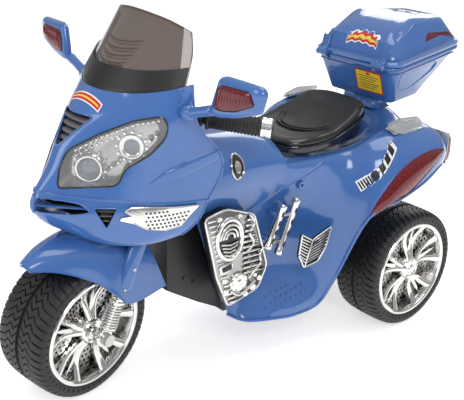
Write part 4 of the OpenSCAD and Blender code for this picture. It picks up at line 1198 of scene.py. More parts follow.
# ============================== Top box ==============================
def wrapped(posts, count=80):
    """The band around upright round posts given as (x, y, radius, z), and their mirror images."""
    both = posts + [(x, -y, r, z) for x, y, r, z in posts]
    ring = []
    for k in range(count):
        out = V(cos(2 * pi * (k + 0.5) / count), sin(2 * pi * (k + 0.5) / count), 0)
        x, y, r, z = max(both, key=lambda d: d[0] * out.x + d[1] * out.y + d[2])
        ring.append(V(x, y, z) + out * r)
    return ring


def rim_ring(grow, z):
    return wrapped([(-22, 75, 22 + grow, z), (-216, 20.1, 40 + grow, z)])


def floor_ring(grow, lift):
    return wrapped([(-36, 63, 16 + grow, -74 + lift), (-100, 57, 16 + grow, -73 + lift),
                    (-190, 28.5, 22 + grow, -40.7 + lift)])


def crown_ring(grow, lift=0.0):
    return wrapped([(-34, 57, 20 + grow, 44.4 + lift), (-80, 47, 26 + grow, 72 + lift),
                    (-165, 26.5, 30 + grow, 63.6 + lift)])


def mixed(a, b, t):
    return [p.lerp(q, t) for p, q in zip(a, b)]


def box_skin(rings):
    return Skin([[in_box(p) for p in ring + ring[:1]] for ring in rings])


def box_laid(skin, outline, start, across, up, direction, lift, depth, material):
    """A patch laid on the box, with its places in the box's own frame."""
    return laid(skin, outline, in_box(start), BOX_TILT @ across, BOX_TILT @ up,
                BOX_TILT @ direction, lift, depth, material)


def make_box_base():
    """The open tub with its rim flange, hinge knuckles and flank panels."""
    wall = [mixed(floor_ring(-0.5, 5), rim_ring(-3, -11), t) for t in (0, 0.25, 0.5, 0.75, 0.96)]
    outer = ([floor_ring(-9, 0), floor_ring(-4, 0.6), floor_ring(-1.5, 2.4)] + wall
             + [rim_ring(-2.6, -8), rim_ring(1.5, -7), rim_ring(4, -5.4), rim_ring(4, -1.6),
                rim_ring(3.2, -0.6)])
    inner = [rim_ring(-3.2, -0.6), rim_ring(-4.6, -9),
             mixed(rim_ring(-5, -10), floor_ring(-5, 6), 0.6), floor_ring(-8, 4)]
    skin = box_skin(outer)
    shell = [moved(loft(outer + inner, BLUE, True, True), in_box)]
    groove = [p + V(0, 0, -14) for p in rim_ring(-2.9, 0)]
    shell.append(moved(tube(groove, 1.1, BLUE, 6, closed=True), in_box))
    for side in (1, -1):
        shell.append(moved(rod((8, side * 56, 1), (8, side * 62, 1), 6, BLUE, 24), in_box))
        shell.append(moved(block((-5, side * 59 - 3, -9), (8, side * 59 + 3, -1.5), BLUE), in_box))
        shell.append(moved(rod((8, side * 55.4, 1), (8, side * 82, 1), 2.2, STEEL, 12), in_box))
        # Shallow moulded panel on each flank.
        panel = [(30, -16), (150, -16), (170, -22), (150, -34), (70, -52), (34, -50)]
        ring = rounded(panel, 10, 4)
        path = [skin.drop(in_box(V(-u, side * 160, w)), BOX_TILT @ V(0, -side, 0), 0.1) for u,
                w in ring]
        shell.append(tube(path, 0.9, BLUE, 6, closed=True))
    make_piece("box_base_shell", shell, "body", ["box_base"], angle=40)
    make_box_label(skin)


def make_box_label(skin):
    """A yellow plate in a red border with plain bars, in the place of a printed label."""
    label = round_box(-32, -17, 32, -60, 2, 3)
    field = round_box(-29.5, -19.5, 29.5, -57.5, 1.5, 3)
    start, across, up, back = V(60, 34, 0), V(0, 1, 0), V(0, 0, 1), V(-1, 0, 0)
    plate = [box_laid(skin, label, start, across, up, back, 0.35, 0.8, RED),
             box_laid(skin, field, start, across, up, back, 0.6, 0.5, YELLOW)]
    for k in range(6):
        bar = [(-25 + (k % 2) * 4, -28 - k * 4.6), (25 - (k % 3) * 6, -28 - k * 4.6),
               (25 - (k % 3) * 6, -29.2 - k * 4.6), (-25 + (k % 2) * 4, -29.2 - k * 4.6)]
        plate.append(box_laid(skin, bar, start, across, up, back, 0.75, 0.3, BLACK_PRINT))
    spot = [(4.5 * cos(a), -23.2 + 2.6 * sin(a)) for a in angles(14)]
    plate.append(box_laid(skin, spot, start, across, up, back, 0.75, 0.3, RED))
    make_piece("box_plain_label", plate, "body")


def make_box_lid():
    """The hollow lid with its rim flange and the two hinge straps."""
    wall = [mixed(rim_ring(-2.4, 11), crown_ring(-1), t) for t in (0.0, 0.25, 0.5, 0.72, 0.86)]
    outer = [rim_ring(3.2, 0.6), rim_ring(4, 1.6), rim_ring(4, 6), rim_ring(1.5, 8),
             rim_ring(-2.4, 10)]
    outer += wall
    edge = crown_ring(-2.5, -3.2)
    outer += [edge, crown_ring(-6, -1.2)]
    middle = V(-108, 0, 69)
    last = crown_ring(-11, -0.4)
    for t in (0.0, 0.2, 0.45, 0.7, 0.9):
        ring = mixed(last, [middle] * len(last), t)
        outer.append([p + V(0, 0, 9 * sin(pi * (0.12 + t * 0.88)) * max(0.0, (66 - q.z) / 22))
                      for p, q in zip(ring, last)])
    inner = [rim_ring(-3.4, 0.6), mixed(rim_ring(-4, 5), crown_ring(-6, -5), 0.5),
             crown_ring(-9, -6)]
    skin = box_skin(outer)
    shell = [moved(loft(inner[::-1] + outer, BLUE, True, True), in_box)]
    for side in (1, -1):
        shell.append(moved(rod((8, side * 62.6, 1), (8, side * 81, 1), 6, BLUE, 24), in_box))
        path = [V(8, 0, 6.4), V(1.5, 0, 9), V(-2.5, 0, 15), V(-6, 0, 27), V(-9, 0, 31)]
        for y in (side * 64, side * 79.5):
            shell.append(moved(tube([p + V(0, y, 0) for p in path], 1.8, BLUE, 8), in_box))
        strap = [[p + V(0, side * 63, 0), p + V(0, side * 80.5, 0), p + V(-7, side * 80.5, -2),
                  p + V(-7, side * 63, -2)] for p in path]
        shell.append(moved(loft(strap, BLUE), in_box))
    shell.append(moved(tube([p + V(0, 0, 12.6) for p in rim_ring(-2.7, 0)], 1.0, BLUE, 6,
                            closed=True), in_box))
    make_piece("box_lid_shell", shell, "box_lid", ["box_lid"], angle=42)
    make_lid_reflectors(skin)
    make_lid_marks(skin)


def make_lid_reflectors(skin):
    """Dark red reflectors over the two rear shoulders, in the lid's surface."""
    for side, name in SIDES:
        outline = rounded([(112, 58), (200, 47), (238, 22), (226, 12), (124, 30)], 5, 3)
        parts = [box_laid(skin, outline, V(0, side * 90, 60), V(-1, 0, 0),
                          V(0, side * 0.75, 0.66) * -1, V(0, -side * 0.6, -0.8), 0.7, 2.0,
                          RED_LENS)]
        for k in range(9):
            u = 126 + k * 10.5
            row = [skin.drop(in_box(V(-u - t * 8, side * 90, 60) - V(0, side * 0.75, 0.66) * w),
                             BOX_TILT @ V(0, -side * 0.6, -0.8), 0.8)
                   for t, w in ((0, 20 + k), (0.5, 36), (1, 50 - k * 2.4))]
            parts.append(tube(row, 0.45, RED_LENS, 5))
        make_piece(f"lid_reflector_{name}", parts, "box_lid")


def make_lid_marks(skin):
    """A plain chromed trim on top, and a wavy two-colour band on the front with no mark on it."""
    badge = rounded([(140, -22), (152, -24), (158, 0), (152, 24), (140, 22), (146, 0)], 4, 4)
    plate = [box_laid(skin, badge, V(0, 0, 120), V(-1, 0, 0), V(0, 1, 0), V(0, 0, -1), 1.2, 2,
                      CHROME)]
    make_piece("lid_plain_trim", plate, "box_lid")
    for width, material, lift in ((9.5, WHITE, 0.3), (7.0, RED, 0.5), (2.6, YELLOW, 0.7)):
        rows = []
        for share in (-1, -0.35, 0.35, 1):
            rows.append([skin.drop(in_box(V(60, y, 40 - 0.004 * (y - 12) ** 2 + share * width
                                            + 1.5 * sin(y * 0.35) * abs(share))),
                                   BOX_TILT @ V(-1, 0, 0), lift)
                         for y in (-26 + 74 * k / 24 + (10 - width) * (1 - 2 * k / 24) * 0.4
                                   for k in range(25))])
        make_piece(f"lid_band_{material.name}", [sheet(rows, 0.3, material)], "box_lid")


def make_box_fittings():
    """The latch tab and the column that carries the box."""
    tab = rounded([(-16, -20), (16, -20), (16, 10), (9, 14), (-9, 14), (-16, 10)], 4, 4)

    def place(u, w, h):
        return in_box(V(-h, u, w))

    parts = [prism(tab, 256.6, 259.2, BLUE, place)]
    inner = round_box(-11, -15, 11, 6, 3, 3)
    parts.append(prism(inner, 258.8, 260, BLUE_INNER, place))
    parts.append(moved(rod((-258.2, -15, 12), (-258.2, 15, 12), 1.7, STEEL, 12), in_box))
    make_piece("box_latch_tab", parts, "box_latch", ["box_latch"], bevel=0.4)
    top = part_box("box_bracket")[1].z / MM
    rings = []
    for z, w, front, back in ((402.6, 46, -292, -344), (406, 43, -296, -340), (411, 41, -299, -338),
                              (top - 3, 42, -300, -340), (top - 1.5, 43, -300, -340)):
        rings.append([V(x, y, min(z, top - 1 - (x + 300) * -0.087)) for x, y in
                      rounded([(front, -w), (front, w), (back, w), (back, -w)], 10, 4)])
    parts = [loft(rings, BLUE)]
    for y in (-26, -9, 9, 26):
        parts.append(tube([V(-298.4, y, 408), V(-299.4, y, top - 6)], 1.4, BLUE, 6))
    make_piece("box_bracket_column", parts, "body", ["box_bracket"], angle=40)


# ============================== Sides of the body ==============================
def on_side(skin, x, z, lift=0.0):
    return skin.drop(V(x, 260, z), (0, -1, 0), lift)


ENGINE_X, ENGINE_Z = 18, -4
ENGINE_STRETCH = 1.12
ENGINE_OUTLINE = [(115, 290), (75, 300), (20, 280), (-15, 180), (0, 140), (58, 122), (84, 180)]


def engine_parts():
    """A chromed relief: ribbed front edge, an oval case with hoops, fins and a round case."""
    outline = rounded(ENGINE_OUTLINE, 9, 4)
    # The back plate is in the darker chrome: painted shade under the relief.
    parts = [prism(outline, 96.4, 99.2, CHROME_SHADED, side_place)]
    parts.append(tube([V(u, 99.4, w) for u, w in outline], 1.8, CHROME, 8, closed=True))
    for k in range(19):
        t = k / 18
        a = Vector((112, 284)).lerp(Vector((82, 182)), min(1, t * 1.55)) if t < 0.645 else \
            Vector((82, 182)).lerp(Vector((59, 128)), (t - 0.645) / 0.355)
        parts.append(block((a.x - 17, 99, a.y - 1.6), (a.x - 3, 101.2, a.y + 1.6), CHROME))
    middle, tall, wide = Vector((66, 246)), 40, 27

    def oval(grow, high, flat=1.0):
        return [V(middle.x + (wide * grow) * cos(a) + 3 * sin(a) * grow, high,
                  middle.y + tall * grow * sin(a) * flat) for a in angles(48)]

    parts.append(loft([oval(1.0, 99), oval(1.0, 102.4), oval(0.95, 104.6), oval(0.88, 105.4),
                       oval(0.80, 104.6), oval(0.77, 101.4)], CHROME, True, True))
    parts.append(loft([oval(0.775, 101.4), oval(0.77, 101.8)], BLACK, True, True))
    for k, (reach, rise) in enumerate(((19, 24), (13.5, 17), (8, 10))):
        arch = [V(middle.x + reach * cos(a), 103.6 - k * 0.3, middle.y + 2 + rise * sin(a))
                for a in (pi * j / 16 for j in range(17))]
        parts.append(tube(arch, 2.1, CHROME, 8))
    for k in range(4):
        w = middle.y - 6 - k * 6.4
        half = 17 - k * 2.6
        parts.append(tube([V(middle.x - half, 103, w), V(middle.x, 104.4, w - 3),
                           V(middle.x + half, 103, w)], 1.7, CHROME, 8))
    parts.append(prism(rounded([(84, 202), (58, 206), (56, 190), (80, 186)], 3, 3), 99, 104.6,
                       CHROME, side_place))
    parts.append(prism(rounded([(80, 199.5), (61, 202.5), (60, 193), (77, 190)], 2, 3), 104.4,
                       105.4, BLACK, side_place))
    parts.append(moved(lathe([(0, 106), (4, 106), (6, 104.6), (9, 104.2), (11, 105), (15, 104.6),
                              (17, 102), (17.6, 99), (0, 99)], CHROME, 44), lambda p: p
                       + V(42, 0, 163)))
    for a in angles(6):
        spot = V(42 + 13 * cos(a), 104.4, 163 + 13 * sin(a))
        parts.append(rod(spot, spot + V(0, 1.4, 0), 1.5, STEEL, 6))
    for k in range(11):
        w = 272 - k * 9.6
        left = read_row([(122, 6), (140, 3), (180, -8), (280, 24)], w)
        right = 38 - max(0, (w - 246) * 0.15) if w > 206 else 34
        parts.append(tube([V(left, 100.6, w - 1), V((left + right) / 2, 103.2, w + 1.6),
                           V(right, 100.6, w)], 2.0, CHROME, 8))
        parts.append(block((left + 3, 99, w - 5.2), (right - 3, 100, w - 3.6), BLACK))
    for u, w, r in ((12, 146, 6), (26, 137, 5), (0, 160, 5), (10, 168, 4), (70, 172, 5),
                    (66, 150, 6), (88, 285, 4.5), (50, 283, 4)):
        spot = V(u, 98.8, w)
        parts.append(turned_bar(spot, spot + V(0, 4.6, 0), [(0, 0), (r, 0), (r, 0.7), (r * 0.8, 1),
                                                           (r * 0.35, 0.7), (0, 0.7)], CHROME, 20))
    parts.append(prism(outline, 84, 96.6, BLACK, side_place))
    hoses = [[V(30, 101, 282), V(22, 104, 268), V(30, 104.5, 250), V(20, 104, 232),
              V(28, 101, 216)], [V(-4, 101, 214), V(6, 104.5, 205), V(2, 104, 190),
                                 V(14, 104.5, 178), V(24, 103, 166)],
             [V(56, 101, 150), V(40, 104, 140), V(22, 104, 150), V(10, 103, 158)]]
    parts += [tube(smooth(path, 5), 2.3, CHROME, 8) for path in hoses]
    return [moved(part, lambda p: V(ENGINE_X + ENGINE_STRETCH * p.x, p.y, p.z + ENGINE_Z))
            for part in parts]


def pipe_parts():
    """Two slotted chromed pipes behind the engine."""
    parts = []
    for front, low, rear, high in ((6, 206, -25, 280), (-21, 190, -56, 286)):
        a, b = V(front, 101, low), V(rear, 101, high)
        run = (b - a).normalized()
        side = run.cross(V(0, 1, 0)).normalized()
        parts.append(turned_bar(a, b,
                                [(0, 0), (6.4, 0), (7.6, 0.02), (7.6, 0.08), (6.8, 0.1),
                                 (6.8, 0.9), (7.6, 0.92), (7.6, 0.985), (6.2, 1), (4.6, 1),
                                 (4.4, 0.97), (0, 0.97)], CHROME, 28))
        for k in range(4):
            spot = a + run * ((b - a).length * (0.2 + k * 0.2)) + V(0, 6.1, 0)
            slot = [spot + run * (5.4 * cos(t)) + side * (2.3 * sin(t))
                    for t in angles(14)]
            parts.append(loft([[p - V(0, 2, 0) for p in slot], [p + V(0, 1.05, 0) for p in slot]],
                              BLACK))
    for x, w in ((-6, 212), (-26, 258)):
        # The hangers are in the darker chrome: painted shade behind the pipes.
        parts.append(tube([V(x + 16, 97, w), V(x, 100, w + 3), V(x - 24, 100, w + 2)], 3.2,
                          CHROME_SHADED, 10))
    for x, w in ((4, 222), (-14, 262), (-30, 206), (-50, 268)):
        parts.append(rod((x, 70, w), (x, 99, w), 3.6, BLUE, 14))
    return parts


def make_engine():
    for side, label in SIDES:
        parts = [sided(p, side) for p in engine_parts() + pipe_parts()]
        make_piece(f"engine_relief_{label}", parts, "body",
                   [f"engine_cover_{label}"], bevel=0.3, angle=42, segments=1)


def make_side_vents():
    """A folded vent behind the leg: a frame and two sets of slanted louvres that meet at a fold."""
    outline = [(-50, 229), (-74, 215), (-122, 231), (-110, 192), (-94, 172), (-60, 167), (-47, 190)]

    def depth(x):
        return 131.2 - 3.2 * max(0.0, (x + 74) / 30) - 2.0 * max(0.0, (-74 - x) / 50)

    ring = [V(x, depth(x), z) for x, z in rounded(outline, 3, 3)]
    parts = [loft([[p - V(0, 7, 0) for p in ring], [p - V(0, 3.0, 0) for p in ring]], BLACK),
             tube([p - V(0, 1.2, 0) for p in ring], 1.7, CHROME, 8, closed=True),
             tube([V(-74, 130.6, 215), V(-67, 130.2, 192), V(-62, 129.6, 169)], 1.5, CHROME, 8)]
    for k in range(8):
        t = (k + 0.6) / 8.6
        fold = V(-74 + 12 * t, 130, 213 - 44 * t)
        front = V(read_row([(167, -60), (190, -48.5), (229, -51)], fold.z + 12), 126.6, fold.z + 12)
        rear_z = fold.z + 13 - 7 * t
        rear = V(read_row([(167, -70), (172, -93), (192, -109), (231, -121)], rear_z), 127.6,
                 rear_z)
        for a, b in ((fold, front), (fold, rear)):
            lift = (V(0, 0, 1.5), V(0, 1.0, 0.2), V(0, 0, -1.5), V(0, -3.4, -0.4))
            parts.append(loft([[p + q for q in lift]
                               for p in (a, a.lerp(b, 0.5) + V(0, 0.5, 0), b)], CHROME))
    both = on_both_sides(parts)
    make_piece("side_vent_louvres", both, "body", ["side_vents"], bevel=0.25,
               angle=42, segments=1)


def make_fender_lamps():
    """The ribbed clear lamps on top of the fenders."""
    lamp = [(-236, 396), (-252, 403.5), (-270, 407.5), (-322, 405.5), (-314, 399), (-292, 395),
            (-270, 394)]
    front, back = 120, 148
    parts = []
    rings = []
    for k in range(9):
        t = k / 8
        y = front + (back - front) * t
        shrink = 1 - 0.35 * abs(2 * t - 0.9) ** 3
        sink = 9.0 * t * t
        rings.append([V(-278 + (x + 278) * shrink, y, 392 + (z - 392) * shrink - sink)
                      for x, z in rounded(lamp, 4, 3)])
    parts.append(loft(rings, FROST))
    for k in range(13):
        x = -244 - k * 6
        top = read_row([(-322, 405.5), (-270, 407.5), (-236, 397)], x)
        arc = [V(x, front + 3 + (back - front - 6) * t, 392
                 + (top - 392) * (1 - 0.3 * abs(2 * t - 0.9) ** 3) - 9 * t * t + 0.6)
               for t in (0, 0.25, 0.5, 0.75, 1)]
        parts.append(tube(arc, 1.5, FROST, 6))
    parts.append(loft([[V(-278 + (x + 278) * 0.93, y, 390 + (z - 390) * 0.6 - s) for x, z in lamp]
                       for y, s in ((front + 2, 1), (back - 4, 8))], CHROME))
    make_piece("fender_lamp_lenses", on_both_sides(parts), "body", ["fender_lamps"],
               bevel=0.3, angle=40, segments=1)


def make_flank_reflectors(skin):
    """Long red reflectors that follow the flank, with ribs in their middle."""
    top = [(-172, 250), (-188, 283), (-222, 322), (-262, 346), (-310, 356), (-345, 353)]
    low = [(-172, 248), (-214, 262), (-256, 286), (-292, 312), (-322, 334), (-345, 351)]
    rows = []
    for t, lift in ((0.0, 0.3), (0.12, 2.6), (0.32, 4.6), (0.5, 5.4), (0.68, 4.6), (0.88, 2.6),
                    (1.0, 0.3)):
        rows.append([on_side(skin, a[0] + (b[0] - a[0]) * t, a[1] + (b[1] - a[1]) * t,
                             lift * min(1, 0.15 + 1.4 * sin(pi * k / 5)))
                     for k, (a, b) in enumerate(zip(top, low))])
    net = smooth_net(rows, 4)
    parts = [flank_sheet(net, 1.6, RED_LENS)]
    edge = net[0] + [row[-1]
                     for row in net[1:]] + net[-1][-2::-1] + [row[0] for row in net[-2:0:-1]]
    parts.append(tube(edge, 1.5, RED_LENS, 6, closed=True))
    for k in range(15):
        column = 5 + k
        rib = [net[row][min(column, len(net[0]) - 2)] + V(0, -0.4, 0)
               for row in range(3, len(net) - 3, 3)]
        parts.append(tube(rib, 0.8, RED_LENS, 6))
    make_piece("fender_reflector_lenses", on_both_sides(parts), "body",
               ["fender_reflectors"], angle=50)


def make_tail_lamps():
    """A clear and a red lens side by side, on a silver plate and a block that joins the body."""
    tail = [(-396, 368), (-404, 360), (-408, 330), (-402, 312), (-395, 312)]
    parts = []
    for low_y, high_y, material in ((109, 128, FROST), (129, 150, RED_LENS)):
        ring = rounded(tail, 4, 3)
        rings = []
        for t in (0, 0.15, 0.5, 0.85, 1):
            shrink = 1 - 0.12 * abs(2 * t - 1) ** 2
            rings.append([V(-396 + (x + 396) * shrink, low_y + (high_y - low_y) * t, 340
                            + (z - 340) * shrink) for x, z in ring])
        parts.append(loft(rings, material))
        for k in range(7):
            z = 318 + k * 7
            x = read_row([(312, -402), (330, -407.5), (360, -404), (368, -397)], z)
            parts.append(tube([V(x, low_y + 2, z), V(x - 0.5, (low_y + high_y) / 2, z),
                               V(x, high_y - 2, z)], 1.2, material, 6))
    parts.append(block((-396, 107.6, 310), (-393.6, 151, 369.5), SILVER))
    parts.append(block((-395, 110, 314), (-376, 149, 352), BLUE))
    make_piece("tail_lamp_lenses", on_both_sides(parts), "body", ["tail_lamps"],
               bevel=0.3, angle=40, segments=1)


def side_patch(skin, outline, lift, depth, material, steps):
    """A patch on the left flank, from an outline of (x, z)."""
    return laid(skin, outline, V(0, 200, 0), V(1, 0, 0), V(0, 0, 1), V(0, -1, 0), lift, depth,
                material, steps)


def make_crease(skin):
    """A low bright bead along the flank behind the leg."""
    crease = smooth([V(30, 0, 268), V(-8, 0, 286), V(-50, 0, 307), V(-84, 0, 326),
                     V(-118, 0, 345)], 6)
    bead = tube([on_side(skin, p.x, p.z, -1.0) for p in crease], 3.0, BLUE, 10)
    make_piece("body_crease", on_both_sides([bead]), "body")


def make_badges(skin):
    """A plain oval badge with a chromed rim and centre on each side of the tank."""
    parts = []
    oval = [(77 + 13 * cos(a), 360 + 19 * sin(a)) for a in angles(36)]
    parts.append(side_patch(skin, oval, 1.2, 2.4, BLACK_GLOSS, 1))
    parts.append(tube([on_side(skin, u, w, 1.2) for u, w in oval], 1.6, CHROME, 8, closed=True))
    inner = [(77 + 6.5 * cos(a), 360 + 9.5 * sin(a)) for a in angles(36)]
    parts.append(side_patch(skin, inner, 2.4, 2.0, CHROME, 1))
    make_piece("tank_badges", on_both_sides(parts), "body")


def make_stripes(skin):
    """Plain slanted stripes and blocks on the flank by each rear wheel, with no lettering."""
    parts = []
    a, b = Vector((-168, 292)), Vector((-232, 368))
    run = (b - a).normalized()
    rise = Vector((0.25, 0.9))
    plate = [a, b - rise * 2, b + rise * 15, a + rise * 17]
    parts.append(side_patch(skin, plate, 0.35, 0.8, WHITE, 6))
    for k in range(9):
        begin, width = (2 + k * 4.2, 2.4) if k < 5 else (24 + (k - 5) * 18, 12.5)
        p = a + run * begin
        q = a + run * (begin + width)
        stripe = [p + rise * 2, q + rise * 2, q + rise * 14.4, p + rise * 14.4]
        parts.append(side_patch(skin, stripe, 0.6, 0.5, BLACK_PRINT, 3))
    make_piece("flank_stripes", on_both_sides(parts), "body")


def make_studs(skin):
    """Rows of studs moulded in both footboards."""
    parts = []
    for i in range(8):
        for j in range(4):
            x, y = -8 - i * 12 - (j % 2) * 6, 82 + j * 7.5
            spot = skin.drop(V(x, y, 300), (0, 0, -1), -0.4)
            if spot.z > 160:
                continue
            parts.append(turned_bar(spot, spot + V(0, 0, 2.0),
                                    [(0, 0), (2.8, 0), (2.4, 0.6), (1.4, 1), (0, 1)], BLUE, 12))
    make_piece("footboard_studs", on_both_sides(parts), "body")


def make_cheeks(skin):
    """The raised, glossy upper cheek of the nose behind each headlight."""
    low = smooth([V(262, 0, 362), V(236, 0, 369), V(205, 0, 377), V(176, 0, 387), V(154, 0, 394)],
                 5)
    high = smooth([V(262, 0, 366), V(238, 0, 387), V(208, 0, 399), V(178, 0, 408), V(158, 0, 414)],
                  5)
    rows = []
    for t, lift in ((0, 0.05), (0.15, 2.4), (0.5, 3.6), (0.85, 3.2), (1, 0.05)):
        rows.append([skin.drop(V(a.x + (b.x - a.x) * t, 260, a.z + (b.z - a.z) * t), (0, -1, 0),
                               lift * min(1, k / 6)) for k, (a, b) in enumerate(zip(low, high))])
    cheek = flank_sheet(smooth_net(rows, 3), 1.5, BLUE)
    make_piece("nose_cheeks", on_both_sides([cheek]), "body", angle=60)


# ============================== Bars, mirrors and controls ==============================
def make_handlebar():
    """The bent bar in its centre block, then the grips and the two thumb buttons."""
    ends = {s: (V(167.5, s * 64, BAR_Z), V(103.5, s * 174, BAR_Z)) for s in (1, -1)}
    path = [ends[-1][1], ends[-1][0], V(axis_x(BAR_Z), 0, BAR_Z), ends[1][0], ends[1][1]]
    parts = [tube(smooth(path, 8), 9.6, BLACK, 20)]
    plan = round_box(-26, -24, 28, 24, 8, 4)
    middle = V(axis_x(BAR_Z), 0, 0)
    rings = [[V(middle.x + x * s, y * s, z) for x, y in plan]
             for z, s in ((432, 0.94), (434, 1.0), (462, 1.0), (465, 0.95), (466, 0.8))]
    centre = make_piece("bar_centre", [moved(loft(rings, BLACK), steered)], "steering",
                        angle=40)
    for s in (1, -1):
        pocket = rod((157.5, s * 12, 454), (157.5, s * 12, 480), 8.6, BLACK, 40)
        carve(centre, moved(pocket, steered))
    for s in (1, -1):
        parts.append(turned_bar(ends[s][0] + V(-2, s * 3, 0), ends[s][0] + V(-10, s * 17, 0),
                                [(0, 0), (13, 0), (14, 0.1), (14, 0.9), (13, 1), (0, 1)], BLACK,
                                28))
    make_piece("handlebar_tube", [moved(p, steered) for p in parts], "steering",
               ["handlebar"], bevel=0.3, angle=40)
    make_grips(ends)
    make_buttons()


def make_grips(ends):
    """Ribbed grips with chromed end caps; `ends` holds each side's bend and end of the bar."""
    caps = []
    for s, label in SIDES:
        bend, end = ends[s]
        run = (end - bend).normalized()
        a, b = end - run * 101.8, end - run * 17.8
        profile = [(9.7, 0), (17, 0), (17.4, 0.03), (15, 0.06)]
        for k in range(14):
            t = 0.08 + k * 0.063
            profile += [(15, t), (15, t + 0.034), (13.6, t + 0.04), (13.6, t + 0.058)]
        profile += [(15, 0.965), (14.6, 1.0), (9.7, 1.0)]
        make_piece(f"grip_{label}_ribbed", [moved(turned_bar(a, b, profile, GRIP, 36), steered)],
                   "steering", [f"grip_{label}"], angle=30)
        cap = turned_bar(b + run * 0.2, end - run * 0.3,
                         [(0, 0), (15.2, 0), (16, 0.06), (16, 0.36), (14.8, 0.4), (14.8, 0.52),
                          (16, 0.56), (16, 0.86), (14.6, 0.97), (11, 1.0), (10, 0.94), (0, 0.92)],
                         CHROME, 40)
        caps.append(moved(cap, steered))
    make_piece("grip_end_caps", caps, "steering", ["grip_caps"])


def make_buttons():
    for s, name, material in ((1, "horn", RED_PLASTIC), (-1, "music", YELLOW_PLASTIC)):
        centre = V(157.5, s * 12, 459.5)
        part = turned_bar(centre, centre + V(0, 0, 9.4),
                          [(0, 0), (7.9, 0), (7.9, 0.72), (7.3, 0.92), (5.5, 1), (0, 0.9)],
                          material, 32)
        make_piece(f"{name}_button_cap", [moved(part, steered)], f"{name}_button",
                   [f"{name}_button"])


def make_mirrors():
    outline = [(184, 489), (190, 512), (199, 541), (208, 546), (276, 545), (284.0, 537), (277, 508),
               (232, 492.5), (196, 486)]
    lens_shape = [(198, 500), (203, 526), (210, 534), (262, 535), (270, 519), (240, 505),
                  (216, 500)]

    def depth(y):
        return 221.0 - (y - 190) * 0.085

    def ring(shape, grow, out, radius=6):
        middle = Vector((232, 517))
        flat = rounded([tuple(middle + (Vector(p) - middle) * grow) for p in shape], radius, 4)
        return [V(depth(y) + out, min(y, 283.6), z) for y, z in flat]

    for side, label in SIDES:
        head = [ring(outline, 0.8, -7.6), ring(outline, 0.93, -7.4), ring(outline, 0.985, -5.6),
                ring(outline, 1.0, -2.5), ring(outline, 0.99, 1), ring(outline, 0.94, 4),
                ring(outline, 0.86, 6), ring(outline, 0.7, 7.2), ring(outline, 0.4, 7.8)]
        stem = turned_bar(V(220.1, 129, 474.3), V(218, 190, 494),
                          [(0, 0), (10.4, 0), (11.2, 0.03), (11.2, 0.17), (10.2, 0.2), (8.4, 0.22),
                           (7.4, 0.5), (8.0, 0.9), (0, 1)], BLUE, 32)
        parts = [loft(head, BLUE), stem]
        glass = [ring(outline, 0.84, -7.7), ring(outline, 0.84, -8.0)]
        parts.append(loft(glass, CHROME))
        parts.append(tube([p + V(0.2, 0, 0) for p in ring(outline, 0.87, -7.6)], 1.0, BLUE, 6,
                          closed=True))
        lens_rings = [ring(lens_shape, 1.0, 5.4, 4), ring(lens_shape, 1.0, 7.4, 4),
                      ring(lens_shape, 0.94, 8.6, 4), ring(lens_shape, 0.6, 9.2, 4)]
        parts.append(loft(lens_rings, RED_LENS))
        parts.append(tube(ring(lens_shape, 1.02, 7.0, 4), 1.1, BLACK_GLOSS, 6, closed=True))
        for k in range(11):
            y = 206 + k * 5.4
            low = read_row([(198, 503), (240, 508), (262, 518)], y)
            high = 531
            if high - low > 5:
                parts.append(tube([V(depth(y) + 8.6, y, low + 1),
                                   V(depth(y + 3) + 9.4, y + 2.5, (low + high) / 2),
                                   V(depth(y + 5) + 8.6, y + 5, high)], 0.9, RED_LENS, 6))
        make_piece(f"mirror_{label}_head", [sided(p, side) for p in parts], f"mirror_{label}",
                   [f"mirror_{label}"], angle=42)


def make_controls():
    """The two rocker switches and the pedal."""
    for side, name in ((1, "power"), (-1, "direction")):
        low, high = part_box(f"{name}_switch")
        middle = (low + high) / 2 / MM - V(MIDDLE_X, 0, 0)
        size = (high - low) / MM
        plan = round_box(-size.x / 2, -size.y / 2, size.x / 2, size.y / 2, 1.5, 3)
        rings = []
        for z, s, dip in ((-0.5, 1, 0), (0.25, 1, 0), (0.42, 0.94, 0), (0.42, 0.5, 1.0)):
            rings.append([V(middle.x + x * s, middle.y + y * s, middle.z + size.z * z - dip) for x,
                          y in plan])
        material = RED_PLASTIC if side > 0 else BLACK_GLOSS
        parts = [loft(rings, material)]
        mark = middle + V(size.x * 0.26, 0, size.z * 0.40)
        parts.append(block((mark.x - 1.2, mark.y - 0.5, mark.z - 0.2),
                           (mark.x + 1.2, mark.y + 0.5, mark.z + 0.3), WHITE))
        make_piece(f"{name}_rocker_cap", parts, f"{name}_switch",
                   [f"{name}_switch"], bevel=0.2)
    make_pedal()


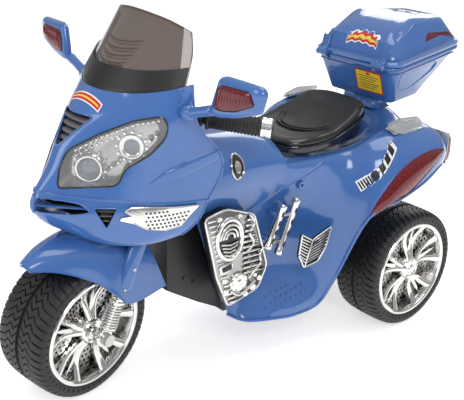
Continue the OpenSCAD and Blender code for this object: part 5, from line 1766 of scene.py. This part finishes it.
def make_pedal():
    """A grey pedal with black ribs across it."""
    low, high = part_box("foot_pedal")
    a = low / MM - V(MIDDLE_X, 0, 0)
    b = high / MM - V(MIDDLE_X, 0, 0)
    plan = round_box(a.x, a.y, b.x, b.y, 4, 4)
    middle = (a + b) / 2
    rings = [[V(middle.x + (x - middle.x) * s, middle.y + (y - middle.y) * s, z) for x, y in plan]
             for z, s in ((a.z, 0.98), (a.z + 1, 1.0), (b.z - 2.4, 1.0), (b.z - 1.4, 0.96))]
    parts = [loft(rings, GREY)]
    for k in range(9):
        x = a.x + 5 + k * (b.x - a.x - 10) / 8
        parts.append(tube([V(x, a.y + 3, b.z - 1.3), V(x, b.y - 3, b.z - 1.3)], 1.1, BLACK, 6))
    make_piece("pedal_tread", parts, "foot_pedal", ["foot_pedal"], bevel=0.3)


def dress_cad_nodes():
    """Procedural finishes for the CAD nodes that stay in sight, chosen by what each is made of."""
    finish = {"chassis": BLACK, "dash_panel": BLACK, "headlight_reflectors": CHROME,
              "steering_bushes": NYLON, "steering_shaft": STEEL, "fork_crown": GREY,
              "front_axle": STEEL, "front_axle_nuts": STEEL, "front_wheel_bushes": NYLON,
              "rear_axle": STEEL, "rear_axle_nuts": STEEL, "rear_left_bushes": NYLON,
              "gearbox_housing": GREY, "motor": STEEL, "motor_pinion": BRASS, "gear_1": NYLON,
              "gear_2": NYLON, "output_gear": NYLON, "battery_pack": GREY, "battery_strap": STEEL,
              "charge_socket": BLUE, "body_screws": BLACK}
    for name, node in frame["nodes"].items():
        node.data.materials.clear()
        node.data.materials.append(finish.get(name, BLUE))


make_stage()
make_lights()
make_camera()
make_wheels()
make_fork()
nose_net = make_fairing()
nose_skin = Skin(nose_net)
make_nose_grille(nose_skin)
make_headlights(nose_skin, nose_net)
make_cheeks(nose_skin)
make_chin()
make_windscreen()
body_skin = make_main_body()
make_crease(body_skin)
make_badges(body_skin)
make_stripes(body_skin)
make_studs(body_skin)
make_engine()
make_side_vents()
make_fender_lamps()
make_flank_reflectors(body_skin)
make_tail_lamps()
make_seat()
make_box_base()
make_box_lid()
make_box_fittings()
make_handlebar()
make_mirrors()
make_controls()
dress_cad_nodes()
